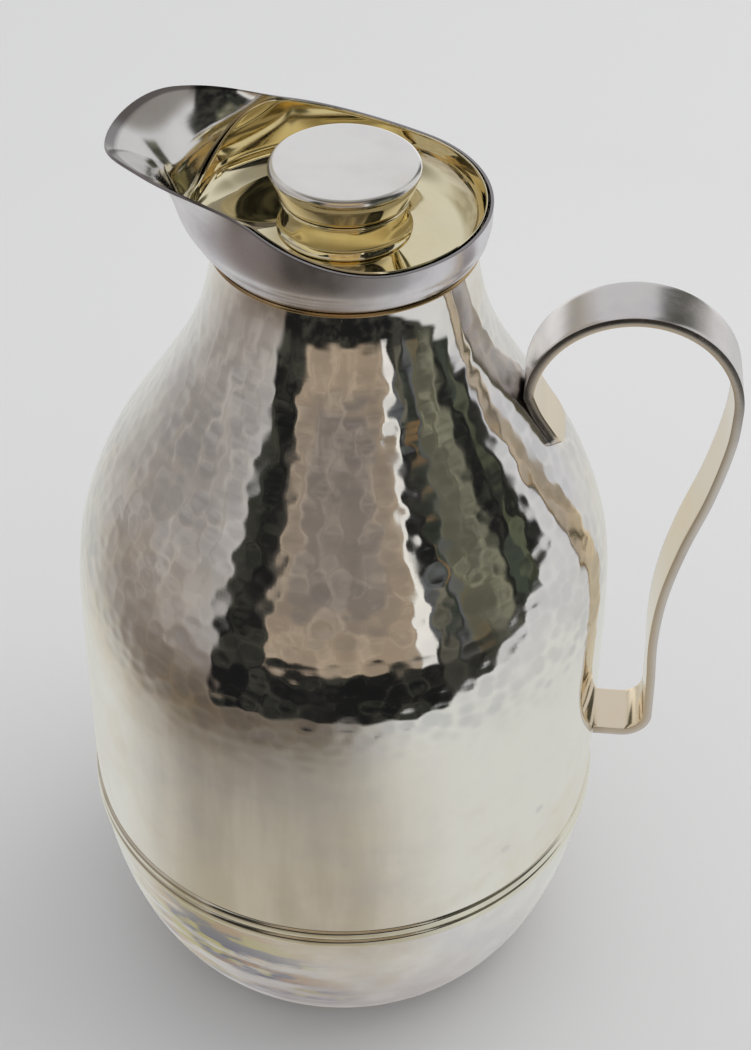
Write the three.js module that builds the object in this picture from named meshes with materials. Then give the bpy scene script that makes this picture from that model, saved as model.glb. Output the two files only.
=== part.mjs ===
// A hand-hammered, silver-plated insulated jug: a lidded vacuum flask inside a metal body.
// Millimetres, +Z up. The origin is on the axis, at the middle of the underside.
// The handle points along +X and the pouring lip along -X.

import * as THREE from "three";
import { mergeVertices } from "three/addons/utils/BufferGeometryUtils.js";

// ---- driving dimensions -------------------------------------------------------------------

const GAP = 0.3; // clearance between neighbouring pieces
const SHEET = 1.2; // thickness of the metal sheet
const BODY_SIDES = 36; // facets round the large metal pieces
const FLASK_SIDES = 24; // facets round the glass flask and its supports
const STOPPER_SIDES = 24; // facets round the stopper and the neck

const JOINT_Z = 61.4; // where the bottom cup meets the body shell
const BODY_RADIUS = 79.4; // radius of the body at that joint
const BEAD_RADIUS = 80.7; // crown of the two half-round beads
const BEAD_HEIGHT = 3.6;
const SHOULDER = [
  // outer radius and height of the body shell, from its foot to its neck
  [BODY_RADIUS, JOINT_Z + GAP],
  [79.6, 88],
  [79.1, 112],
  [78.9, 136],
  [76.6, 160],
  [67.1, 184],
  [51.8, 208],
  [38.9, 232],
  [35.2, 255.6],
];

const CUP_FOOT_RADIUS = 57.9;
const CUP_FOOT_Z = 0.8;
const CUP_ROUNDNESS = 1.66; // exponent of the cup's superellipse section
const PAD_RADIUS = 54.5;
const PAD_THICKNESS = 1.8;

const COLLAR_FOOT_Z = 257.4;
const COLLAR_FOOT_RADIUS = 35.8;
const RIM_RADIUS = 38.5; // collar rim away from the pouring lip
const RIM_Z = 269;
const LIP_REACH = 22.9; // how far the pouring lip stands out past the rim
const LIP_HALF_ANGLE = 60.5; // degrees
const LIP_RISE = 17.5;
const RISE_HALF_ANGLE = 120; // degrees
const LIP_DIP = 4; // the tip of the lip is a little lower than its sides
const DIP_HALF_ANGLE = 25; // degrees
const BOWL_POWER = 4.5; // how soon the collar's bowl reaches its full width
const LIP_FILL = 0.25; // share of the lip's reach that belongs to the bowl
const LIP_FILL_POWER = 7; // how soon that share is reached
const LIP_FLARE_POWER = 4.2; // how late the rest springs outward
const DISH_FLOOR_Z = 260.4;
const DISH_EDGE_FLOOR_Z = 259.2;
const DISH_SHEET = 0.9;
const MOUTH_RADIUS = 17.1; // hole in the dish and bore of the neck tube

const FLASK_RADIUS = 56;
const FLASK_BOTTOM_Z = 30;
const FLASK_BOTTOM_RISE = 34; // height of the flask's elliptical bottom
const FLASK_NECK_RADIUS = 22;
const FLASK_TOP_Z = 246;
const GLASS = 1.6;
const VACUUM = 2.9; // space between the two bulbs

const STRAP_WIDTH = 17;
const STRAP_THICKNESS = 3;
const LOOP_RADIUS = 28.5; // centre line of the handle's upper loop
const LOOP_CENTRE = new THREE.Vector2(79.5, 212.6);
const CORNER_RADIUS = 8; // centre line of the handle's lower corner
const FOOT_Z = 85; // centre line of the handle's foot

const STOPPER_TOP_Z = 279.5;
const DISC_RADIUS = 19.9;
const DISC_THICKNESS = 2.5;
const PLUG_RADIUS = 15.2;
const PLUG_BOTTOM_Z = 238;

// ---- finishes -------------------------------------------------------------------------------

const FINISHES = {
  hammered_silver: { color: 0xd8d0c0, roughness: 0.2, metalness: 1 },
  satin_silver: { color: 0xd2cdc4, roughness: 0.35, metalness: 1 },
  collar_silver: { color: 0xb9b4b8, roughness: 0.32, metalness: 1 },
  handle_silver: { color: 0xb5b1ab, roughness: 0.3, metalness: 1 },
  gilt: { color: 0xe6cf8c, roughness: 0.08, metalness: 1 },
  thread_brass: { color: 0xc2a35e, roughness: 0.4, metalness: 1 },
  flask_glass: { color: 0xc9ccce, roughness: 0.05, metalness: 0.6 },
  black_plastic: { color: 0x1c1c1d, roughness: 0.45, metalness: 0 },
  white_rubber: { color: 0xdedbd2, roughness: 0.8, metalness: 0 },
  steel: { color: 0x9fa1a3, roughness: 0.3, metalness: 1 },
  felt: { color: 0x3c4a3a, roughness: 1, metalness: 0 },
};

const jug = new THREE.Group();

// Adds one named piece, with a material of its own.
function addPiece(name, finish, geometry) {
  const mesh = new THREE.Mesh(geometry, new THREE.MeshStandardMaterial(FINISHES[finish]));
  mesh.name = name;
  jug.add(mesh);
  return mesh;
}

// ---- shape helpers --------------------------------------------------------------------------

const radians = THREE.MathUtils.degToRad;

// A solid of revolution about +Z. The outline runs anticlockwise, radius first, and closes itself.
function turned(outline, sides) {
  const points = outline.map(([radius, z]) => new THREE.Vector2(radius, z));
  if (points[0].x > 0) points.push(points[0].clone());
  return new THREE.LatheGeometry(points, sides).rotateX(Math.PI / 2);
}

// A plain ring of rectangular section.
function ring(inner, outer, bottom, top, sides) {
  return turned([[inner, bottom], [outer, bottom], [outer, top], [inner, top]], sides);
}

// A half-round bead that stands out from a wall of the given radius.
function bead(inner, outer, bottom, height, sides) {
  const outline = [[inner, bottom]];
  const steps = 4;
  for (let i = 0; i <= steps; i++) {
    const angle = (Math.PI * i) / steps - Math.PI / 2;
    const bulge = Math.cos(angle);
    outline.push([inner + 0.2 + (outer - inner - 0.2) * bulge, bottom + (height * (1 + Math.sin(angle))) / 2]);
  }
  outline.push([inner, bottom + height]);
  return turned(outline, sides);
}

// A closed ring whose section changes with the direction: sectionAt(angle) gives its outline.
function shapedRing(sectionAt, sides) {
  const positions = [];
  const triangles = [];
  const sections = [];
  for (let i = 0; i < sides; i++) sections.push(sectionAt((2 * Math.PI * i) / sides));
  const count = sections[0].length;
  sections.forEach((section, i) => {
    const angle = (2 * Math.PI * i) / sides;
    for (const [radius, z] of section) positions.push(radius * Math.cos(angle), radius * Math.sin(angle), z);
  });
  for (let i = 0; i < sides; i++) {
    const next = ((i + 1) % sides) * count;
    for (let j = 0; j < count; j++) {
      const k = (j + 1) % count;
      triangles.push(i * count + j, next + j, next + k);
      triangles.push(i * count + j, next + k, i * count + k);
    }
  }
  const geometry = new THREE.BufferGeometry();
  geometry.setAttribute("position", new THREE.Float32BufferAttribute(positions, 3));
  geometry.setIndex(triangles);
  return mergeVertices(geometry);
}

// A smooth curve through the given points, in equal steps.
function throughPoints(points, steps) {
  const curve = new THREE.SplineCurve(points.map(([x, y]) => new THREE.Vector2(x, y)));
  return curve.getPoints(steps).map((point) => [point.x, point.y]);
}

// The same line moved sideways by a distance, to the left of its own direction.
function offsetLine(line, distance) {
  return line.map(([x, y], i) => {
    const before = line[Math.max(i - 1, 0)];
    const after = line[Math.min(i + 1, line.length - 1)];
    const along = new THREE.Vector2(after[0] - before[0], after[1] - before[1]).normalize();
    return [x - along.y * distance, y + along.x * distance];
  });
}

// ---- body shell -----------------------------------------------------------------------------

function addBody() {
  const outside = throughPoints(SHOULDER, 12);
  const inside = offsetLine(outside, SHEET);
  inside[0][1] = outside[0][1];
  inside[inside.length - 1][1] = outside[outside.length - 1][1];
  addPiece("body_shell", "hammered_silver", turned([...outside, ...inside.reverse()], BODY_SIDES));

  const beadInner = BODY_RADIUS + GAP;
  const shellBead = bead(beadInner, BEAD_RADIUS, JOINT_Z + GAP, BEAD_HEIGHT, BODY_SIDES);
  addPiece("shell_bead", "satin_silver", shellBead);
  const threadRing = ring(74.2, BODY_RADIUS - SHEET - GAP, 64.5, 72.5, BODY_SIDES);
  addPiece("shell_thread_ring", "thread_brass", threadRing);
  const footRing = bead(34.4, COLLAR_FOOT_RADIUS + 0.4, 255.9, 1.2, BODY_SIDES);
  addPiece("collar_foot_ring", "thread_brass", footRing);
}

// ---- pouring collar and its gilt dish -------------------------------------------------------

// 1 at the middle of the pouring lip, falling to 0 at the given angle either side of it.
function lipWave(angle, halfAngle) {
  const fromLip = Math.abs(THREE.MathUtils.euclideanModulo(angle, 2 * Math.PI) - Math.PI);
  const share = fromLip / radians(halfAngle);
  return share < 1 ? Math.cos((Math.PI / 2) * share) ** 2 : 0;
}

function rimHeight(angle) {
  return RIM_Z + LIP_RISE * lipWave(angle, RISE_HALF_ANGLE) - LIP_DIP * lipWave(angle, DIP_HALF_ANGLE);
}

// Outer radius of the collar at a height.
function collarRadius(angle, z) {
  const lip = lipWave(angle, LIP_HALF_ANGLE);
  const climb = THREE.MathUtils.clamp((z - COLLAR_FOOT_Z) / (rimHeight(angle) - COLLAR_FOOT_Z), 0, 1);
  const bowl = (RIM_RADIUS - COLLAR_FOOT_RADIUS) * (1 - (1 - climb) ** BOWL_POWER);
  const filled = LIP_FILL * (1 - (1 - climb) ** LIP_FILL_POWER);
  const flared = (1 - LIP_FILL) * climb ** LIP_FLARE_POWER;
  return COLLAR_FOOT_RADIUS + bowl + LIP_REACH * lip * (filled + flared);
}

// Outline points up the collar's wall, from one height to another, at a distance inside it.
function wallPoints(angle, bottom, top, inset, steps, flare = 0) {
  const points = [];
  for (let i = 0; i <= steps; i++) {
    const share = (1 - Math.cos((Math.PI * i) / steps)) / 2;
    const z = bottom + (top - bottom) * share;
    const thicker = 1 + flare * lipWave(angle, LIP_HALF_ANGLE) * share ** 6;
    points.push([collarRadius(angle, z) - inset * thicker, z]);
  }
  return points;
}

function collarSection(angle) {
  const top = rimHeight(angle);
  const outside = wallPoints(angle, COLLAR_FOOT_Z, top, 0, 10);
  const inside = wallPoints(angle, COLLAR_FOOT_Z, top, SHEET, 10, 1.6);
  return [...outside, ...inside.reverse()];
}

// The gilding rises to the rim at the back and falls to the floor where the lip begins.
function dishEdgeHeight(angle) {
  const fromLip = Math.abs(THREE.MathUtils.euclideanModulo(angle, 2 * Math.PI) - Math.PI);
  const share = 0.25 + 0.71 * THREE.MathUtils.smoothstep(fromLip, radians(10), radians(60));
  return COLLAR_FOOT_Z + (rimHeight(angle) - COLLAR_FOOT_Z) * share;
}

function dishSection(angle) {
  const top = dishEdgeHeight(angle);
  const inset = SHEET + GAP;
  const outside = wallPoints(angle, DISH_EDGE_FLOOR_Z, top, inset, 4);
  const inside = wallPoints(angle, DISH_EDGE_FLOOR_Z + 3.4, top, inset + DISH_SHEET, 4);
  const floor = [
    [30, DISH_EDGE_FLOOR_Z - DISH_SHEET],
    [MOUTH_RADIUS, DISH_FLOOR_Z - DISH_SHEET],
    [MOUTH_RADIUS, DISH_FLOOR_Z],
    [27.5, DISH_EDGE_FLOOR_Z + 0.4],
    [31.5, DISH_EDGE_FLOOR_Z + 1.3],
  ];
  return [...outside, ...inside.reverse(), ...floor.reverse()];
}

function addCollar() {
  addPiece("pouring_collar", "collar_silver", shapedRing(collarSection, BODY_SIDES));
  addPiece("pouring_dish", "gilt", shapedRing(dishSection, BODY_SIDES));
  const neckTop = DISH_FLOOR_Z - DISH_SHEET - GAP - 0.2;
  addPiece("neck_tube", "gilt", ring(MOUTH_RADIUS, MOUTH_RADIUS + SHEET, 249.6, neckTop, STOPPER_SIDES));
  addPiece("neck_gasket", "white_rubber", ring(MOUTH_RADIUS, 22, FLASK_TOP_Z + GAP, 249.3, STOPPER_SIDES));
}

// ---- strap handle ---------------------------------------------------------------------------

function strapCentreLine() {
  const onShoulder = throughPoints([[66, 191], [60, 200.4], [54.6, 207.8], [51.3, 214]], 6);
  const loop = [];
  const loopSteps = 14;
  for (let i = 1; i < loopSteps; i++) {
    const angle = Math.PI - (Math.PI * i) / loopSteps;
    loop.push([
      LOOP_CENTRE.x + LOOP_RADIUS * Math.cos(angle),
      LOOP_CENTRE.y + LOOP_RADIUS * Math.sin(angle),
    ]);
  }
  const backOfHand = throughPoints(
    [[108, 212.6], [107.5, 201], [104, 182], [98.6, 162], [95, 143], [94, 125], [94.9, 108], [95.4, 93]],
    18,
  );
  const corner = [];
  const cornerSteps = 5;
  for (let i = 1; i <= cornerSteps; i++) {
    const angle = (-Math.PI / 2) * (i / cornerSteps);
    corner.push([95.4 - CORNER_RADIUS * (1 - Math.cos(angle)), 93 + CORNER_RADIUS * Math.sin(angle)]);
  }
  const foot = [[BODY_RADIUS + GAP + 0.3, FOOT_Z]];
  return [...onShoulder, ...loop, ...backOfHand, ...corner, ...foot];
}

function addHandle() {
  const centreLine = strapCentreLine();
  const outer = offsetLine(centreLine, STRAP_THICKNESS / 2);
  const inner = offsetLine(centreLine, -STRAP_THICKNESS / 2).reverse();
  const outline = new THREE.Shape([...inner, ...outer].map(([x, z]) => new THREE.Vector2(x, z)));
  const strap = new THREE.ExtrudeGeometry(outline, { depth: STRAP_WIDTH, bevelEnabled: false });
  strap.rotateX(Math.PI / 2).translate(0, STRAP_WIDTH / 2, 0);
  addPiece("handle_strap", "handle_silver", strap);
}

// ---- glass flask and its supports -----------------------------------------------------------

// Section of a bulb: an elliptical bottom, a straight side, a shoulder and a neck.
function bulbLine(shrink, neckRadius, topZ) {
  const radius = FLASK_RADIUS - shrink;
  const rise = FLASK_BOTTOM_RISE - shrink;
  const sideBottom = FLASK_BOTTOM_Z + FLASK_BOTTOM_RISE;
  const line = [];
  const steps = 4;
  for (let i = 0; i <= steps; i++) {
    const angle = (Math.PI / 2) * (i / steps);
    line.push([radius * Math.sin(angle), sideBottom - rise * Math.cos(angle)]);
  }
  line.push([radius, 168]);
  line.push([radius * 0.94, 187]);
  line.push([radius * 0.78, 205 - shrink * 0.3]);
  line.push([neckRadius + 7, 221 - shrink * 0.6]);
  line.push([neckRadius, 232 - shrink * 0.5]);
  line.push([neckRadius, topZ]);
  return line;
}

function addFlask() {
  const lip = 2; // thickness of the rolled lip
  const outerTop = FLASK_TOP_Z - lip - GAP;
  const outerWall = bulbLine(0, FLASK_NECK_RADIUS, outerTop);
  const outerInside = bulbLine(GLASS, FLASK_NECK_RADIUS - GLASS, outerTop);
  addPiece("flask_outer_bulb", "flask_glass", turned([...outerWall, ...outerInside.reverse()], FLASK_SIDES));

  const boreRadius = 17.6;
  const innerWall = bulbLine(GLASS + VACUUM, boreRadius + GLASS, FLASK_TOP_Z - lip);
  innerWall.push([FLASK_NECK_RADIUS, FLASK_TOP_Z - lip], [FLASK_NECK_RADIUS, FLASK_TOP_Z]);
  const innerInside = bulbLine(2 * GLASS + VACUUM, boreRadius, FLASK_TOP_Z);
  addPiece("flask_inner_bulb", "flask_glass", turned([...innerWall, ...innerInside.reverse()], FLASK_SIDES));

  const padThickness = 1.6;
  const padRadius = FLASK_RADIUS - GLASS - VACUUM + GAP + padThickness / 2;
  for (let i = 0; i < 3; i++) {
    const pad = new THREE.CylinderGeometry(4, 4, padThickness, 12);
    pad.rotateZ(Math.PI / 2).translate(padRadius + 0.1, 0, 80).rotateZ((2 * Math.PI * i) / 3);
    addPiece(`flask_spacer_pad_${i + 1}`, "white_rubber", pad);
  }

  const tipCap = [[3.5, 21], [7, 21], [7, 29], [4.5, 29], [4.5, 25], [3.5, 25]];
  addPiece("flask_tip_cap", "white_rubber", turned(tipCap, STOPPER_SIDES));
  const cushion = [[34, 30.3], [45, 30.3], [45, 42.4], [34, 35.7]];
  addPiece("flask_cushion", "white_rubber", turned(cushion, FLASK_SIDES));
  const stand = [[30, 3.8], [49, 3.8], [49, 5.8], [46.6, 8], [46.6, 30], [32.5, 30], [32.5, 28], [44.6, 28],
    [44.6, 5.8], [30, 5.8]];
  addPiece("flask_stand", "black_plastic", turned(stand, FLASK_SIDES));
}

// ---- bottom cup -----------------------------------------------------------------------------

// Outer wall of the cup, a quarter of a superellipse from the foot to the joint.
function cupLine(steps) {
  const line = [];
  for (let i = 0; i <= steps; i++) {
    const angle = (Math.PI / 2) * (i / steps);
    const power = 2 / CUP_ROUNDNESS;
    const radius = CUP_FOOT_RADIUS + (BODY_RADIUS - CUP_FOOT_RADIUS) * Math.sin(angle) ** power;
    line.push([radius, CUP_FOOT_Z + (JOINT_Z - CUP_FOOT_Z) * (1 - Math.cos(angle) ** power)]);
  }
  return line;
}

function addBase() {
  const outside = cupLine(7);
  const inside = offsetLine(outside, SHEET);
  inside[inside.length - 1][1] = JOINT_Z;
  const floorZ = PAD_THICKNESS + GAP;
  inside[0] = [CUP_FOOT_RADIUS - SHEET, floorZ + SHEET];
  const recess = [[0, floorZ], [PAD_RADIUS + 1, floorZ], [PAD_RADIUS + 1, CUP_FOOT_Z]];
  const cup = [...recess, ...outside, ...inside.reverse(), [0, floorZ + SHEET]];
  addPiece("base_cup", "satin_silver", turned(cup, BODY_SIDES));

  const cupBead = bead(BODY_RADIUS + GAP, BEAD_RADIUS, JOINT_Z - BEAD_HEIGHT, BEAD_HEIGHT, BODY_SIDES);
  addPiece("cup_bead", "satin_silver", cupBead);
  const threadRing = [[71.8, 56], [77.4, 56], [77.4, 58], [73.6, 58.6], [73.6, 72], [71.8, 72]];
  addPiece("cup_thread_ring", "thread_brass", turned(threadRing, BODY_SIDES));
  const pad = new THREE.CylinderGeometry(PAD_RADIUS, PAD_RADIUS, PAD_THICKNESS, BODY_SIDES);
  pad.rotateX(Math.PI / 2).translate(0, 0, PAD_THICKNESS / 2);
  addPiece("base_pad", "felt", pad);
}

// ---- stopper --------------------------------------------------------------------------------

function addStopper() {
  const discBottom = STOPPER_TOP_Z - DISC_THICKNESS;
  const edge = 1.1; // rounding of the disc's edge
  const disc = [
    [0, discBottom],
    [DISC_RADIUS - 0.8, discBottom],
    [DISC_RADIUS, discBottom + 0.7],
    [DISC_RADIUS, STOPPER_TOP_Z - edge],
    [DISC_RADIUS - 0.35 * edge, STOPPER_TOP_Z - 0.3 * edge],
    [DISC_RADIUS - 1.5 * edge, STOPPER_TOP_Z],
    [0, STOPPER_TOP_Z],
  ];
  addPiece("stopper_disc", "satin_silver", turned(disc, STOPPER_SIDES));

  const gripTop = discBottom - GAP;
  const grip = [[14.2, 270], [16.7, 270], [17.9, 272.2], [18.8, 274.6], [19.2, gripTop], [14.2, gripTop]];
  addPiece("stopper_grip", "gilt", turned(grip, STOPPER_SIDES));
  addPiece("stopper_bead", "gilt", bead(14.2, 17, 268.7, 1.0, STOPPER_SIDES));
  const neckBottom = DISH_FLOOR_Z + GAP;
  const neck = [[14.2, neckBottom], [17.9, neckBottom], [17.7, neckBottom + 0.7], [16.5, neckBottom + 1.7],
    [16.2, 268.4], [14.2, 268.4]];
  addPiece("stopper_neck", "gilt", turned(neck, STOPPER_SIDES));

  const boreRadius = 2.8;
  const grooveRadius = 12.9;
  const plug = [
    [boreRadius, PLUG_BOTTOM_Z],
    [PLUG_RADIUS - 1.2, PLUG_BOTTOM_Z],
    [PLUG_RADIUS, PLUG_BOTTOM_Z + 2],
    [PLUG_RADIUS, 244.5],
    [grooveRadius, 244.5],
    [grooveRadius, 249.5],
    [PLUG_RADIUS, 249.5],
    [PLUG_RADIUS, 259.6],
    [13.9, 259.6],
    [13.9, gripTop - GAP],
    [7, gripTop - GAP],
    [7, 269],
    [boreRadius, 269],
  ];
  addPiece("stopper_plug", "black_plastic", turned(plug, STOPPER_SIDES));
  const seal = [[13.4, 244.9], [15.9, 244.9], [16.6, 247], [15.9, 249.1], [13.4, 249.1]];
  addPiece("stopper_seal_ring", "white_rubber", turned(seal, STOPPER_SIDES));

  const washerTop = PLUG_BOTTOM_Z - GAP;
  addPiece("stopper_washer", "steel", ring(boreRadius, 10, washerTop - 1.2, washerTop, STOPPER_SIDES));
  const headTop = washerTop - 1.2 - GAP;
  const shank = 2.2;
  const screw = [[0, headTop - 2.4], [3.6, headTop - 2.4], [4.6, headTop - 1.4], [4.6, headTop],
    [shank, headTop], [shank, 273.5], [0, 273.5]];
  addPiece("stopper_screw", "steel", turned(screw, STOPPER_SIDES));
  const hexagon = 6;
  addPiece("stopper_nut", "steel", ring(shank + GAP + 0.1, 5.4, 269 + GAP, 272.6, hexagon));
}

addBody();
addCollar();
addHandle();
addFlask();
addBase();
addStopper();

export default jug;
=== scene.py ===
"""A hand-hammered, silver-plated insulated jug with a glass flask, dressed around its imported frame.

Sizes are in millimetres in the classes below and become metres where a mesh is made. +Z is up,
the handle points along +X and the pouring lip along -X.
"""

import logging
import math
import random
from collections.abc import Callable, Sequence
from dataclasses import dataclass, field
from enum import Enum

import bpy
import numpy as np
from mathutils import Matrix, Vector
from mathutils.kdtree import KDTree


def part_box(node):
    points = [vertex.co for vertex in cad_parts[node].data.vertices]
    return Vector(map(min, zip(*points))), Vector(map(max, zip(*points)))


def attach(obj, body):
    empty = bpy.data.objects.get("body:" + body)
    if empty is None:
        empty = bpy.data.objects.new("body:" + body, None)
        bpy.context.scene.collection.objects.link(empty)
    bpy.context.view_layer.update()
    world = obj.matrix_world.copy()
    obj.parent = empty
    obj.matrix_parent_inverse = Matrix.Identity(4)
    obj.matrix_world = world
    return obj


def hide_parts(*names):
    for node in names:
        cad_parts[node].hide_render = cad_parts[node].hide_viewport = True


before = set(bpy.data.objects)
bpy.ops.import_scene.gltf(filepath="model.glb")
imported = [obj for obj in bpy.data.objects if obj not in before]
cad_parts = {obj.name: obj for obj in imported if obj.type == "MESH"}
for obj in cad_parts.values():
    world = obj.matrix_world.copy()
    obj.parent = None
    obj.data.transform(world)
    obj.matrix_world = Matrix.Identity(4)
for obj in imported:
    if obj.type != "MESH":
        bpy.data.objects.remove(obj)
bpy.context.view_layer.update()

log = logging.getLogger("insulated_jug")

MM = 0.001
SMOOTH_BELOW = 32.0
HOLLOW = "hollow"
INSIDE = "inside"
RIM = "rim"
Triple = tuple[float, float, float]
Colour = Triple
Point = tuple[float, float]
Outline = list[Point]


class Body(Enum):
    """The moving bodies of the frame."""

    JUG = "jug"
    FLASK = "flask"
    BASE = "base"
    SEAL = "stopper_seal"
    STOPPER = "stopper"


class Grain(Enum):
    """The direction of a metal's hairlines, as noise frequencies per metre along x, y and z."""

    TURNED = (6.0, 6.0, 2600.0)
    EVEN = (900.0, 900.0, 900.0)
    ALONG_STRAP = (90.0, 2600.0, 90.0)


# ---- shader building --------------------------------------------------------------------------


class Signal:
    """A shader socket that takes part in Python arithmetic."""

    def __init__(self, shader: "Shader", socket: bpy.types.NodeSocket | None) -> None:
        """Wrap a socket.

        Args:
            shader: the material's node tree.
            socket: the output socket that carries the value, or None for a node without outputs.
        """
        self.shader = shader
        self.socket = socket

    def __add__(self, other: "Signal | float") -> "Signal":
        """Sum."""
        return self.shader.math("ADD", self, other)

    __radd__ = __add__

    def __sub__(self, other: "Signal | float") -> "Signal":
        """Difference."""
        return self.shader.math("SUBTRACT", self, other)

    def __rsub__(self, other: "Signal | float") -> "Signal":
        """Difference from a number."""
        return self.shader.math("SUBTRACT", other, self)

    def __mul__(self, other: "Signal | float") -> "Signal":
        """Product."""
        return self.shader.math("MULTIPLY", self, other)

    __rmul__ = __mul__

    def size(self) -> "Signal":
        """Absolute value."""
        return self.shader.math("ABSOLUTE", self)

    def between(self, low: float, high: float) -> "Signal":
        """0 below low, 1 above high and a smooth step between."""
        sockets = {0: self, 1: low, 2: high, 3: 0.0, 4: 1.0}
        return self.shader.node("ShaderNodeMapRange", {"interpolation_type": "SMOOTHSTEP"}, sockets)


class Shader:
    """One material's node tree, and the single way its nodes are made."""

    def __init__(self, name: str) -> None:
        """Start an empty material.

        Args:
            name: the material's name.
        """
        self.material = bpy.data.materials.new(name)
        self.material.use_nodes = True
        self.tree = self.material.node_tree
        self.tree.nodes.clear()

    def node(self, kind: str, settings: dict, sockets: dict, output: int = 0) -> Signal:
        """Add any node.

        Args:
            kind: the node's type.
            settings: the node's properties, set before its sockets.
            sockets: value or Signal for each input, by index or name.
            output: which output to hand back.

        Returns:
            That output as a Signal.
        """
        made = self.tree.nodes.new(kind)
        for key, value in settings.items():
            setattr(made, key, value)
        for key, value in sockets.items():
            if isinstance(value, Signal):
                self.tree.links.new(value.socket, made.inputs[key])
            else:
                made.inputs[key].default_value = value
        return Signal(self, made.outputs[output] if made.outputs else None)

    def math(self, operation: str, first: Signal | float, second: Signal | float = 0.0) -> Signal:
        """One Math node."""
        return self.node("ShaderNodeMath", {"operation": operation}, {0: first, 1: second})

    def stored(self, attribute: str) -> Signal:
        """A number kept on the mesh."""
        return self.node("ShaderNodeAttribute", {"attribute_name": attribute}, {}, output=2)

    def here(self) -> Signal:
        """Object coordinates."""
        return self.node("ShaderNodeTexCoord", {}, {}, output=3)

    def place(self, scale: Triple = (1.0, 1.0, 1.0), shift: Triple = (0.0, 0.0, 0.0)) -> Signal:
        """Object coordinates, stretched by a factor and shifted by metres along each axis."""
        sockets = {"Vector": self.here(), "Location": shift, "Scale": scale}
        return self.node("ShaderNodeMapping", {}, sockets)

    def noise(
        self, where: Signal, scale: float, detail: float = 3.0, roughness: float = 0.55
    ) -> Signal:
        """Fractal noise from 0 to 1, with scale in features per metre and detail in octaves."""
        sockets = {"Vector": where, "Scale": scale, "Detail": detail, "Roughness": roughness}
        return self.node("ShaderNodeTexNoise", {}, sockets)

    def mix(self, share: Signal, first: Colour | Signal, second: Colour | Signal) -> Signal:
        """Blend two colours.

        Args:
            share: 0 for the first colour, 1 for the second.
            first: a colour or colour Signal.
            second: a colour or colour Signal.

        Returns:
            The blended colour.
        """
        first = first if isinstance(first, Signal) else (*first, 1.0)
        second = second if isinstance(second, Signal) else (*second, 1.0)
        settings = {"data_type": "RGBA", "clamp_factor": True}
        return self.node("ShaderNodeMix", settings, {0: share, 6: first, 7: second}, output=2)

    def bump(
        self, height: Signal, strength: float, distance: float, below: Signal | None = None
    ) -> Signal:
        """A normal bent by a height.

        Args:
            height: the height value.
            strength: 0 to 1.
            distance: depth of a height of 1, in metres.
            below: another normal to add to.

        Returns:
            The bent normal.
        """
        sockets = {"Strength": strength, "Distance": distance, "Height": height}
        if below is not None:
            sockets["Normal"] = below
        return self.node("ShaderNodeBump", {}, sockets)

    def finish(self, sockets: dict) -> bpy.types.Material:
        """Close the tree with a Principled shader.

        Args:
            sockets: value or Signal for each of its inputs.

        Returns:
            The finished material.
        """
        surface = self.node("ShaderNodeBsdfPrincipled", {}, sockets)
        self.node("ShaderNodeOutputMaterial", {}, {"Surface": surface})
        return self.material


# ---- finishes ---------------------------------------------------------------------------------


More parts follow.
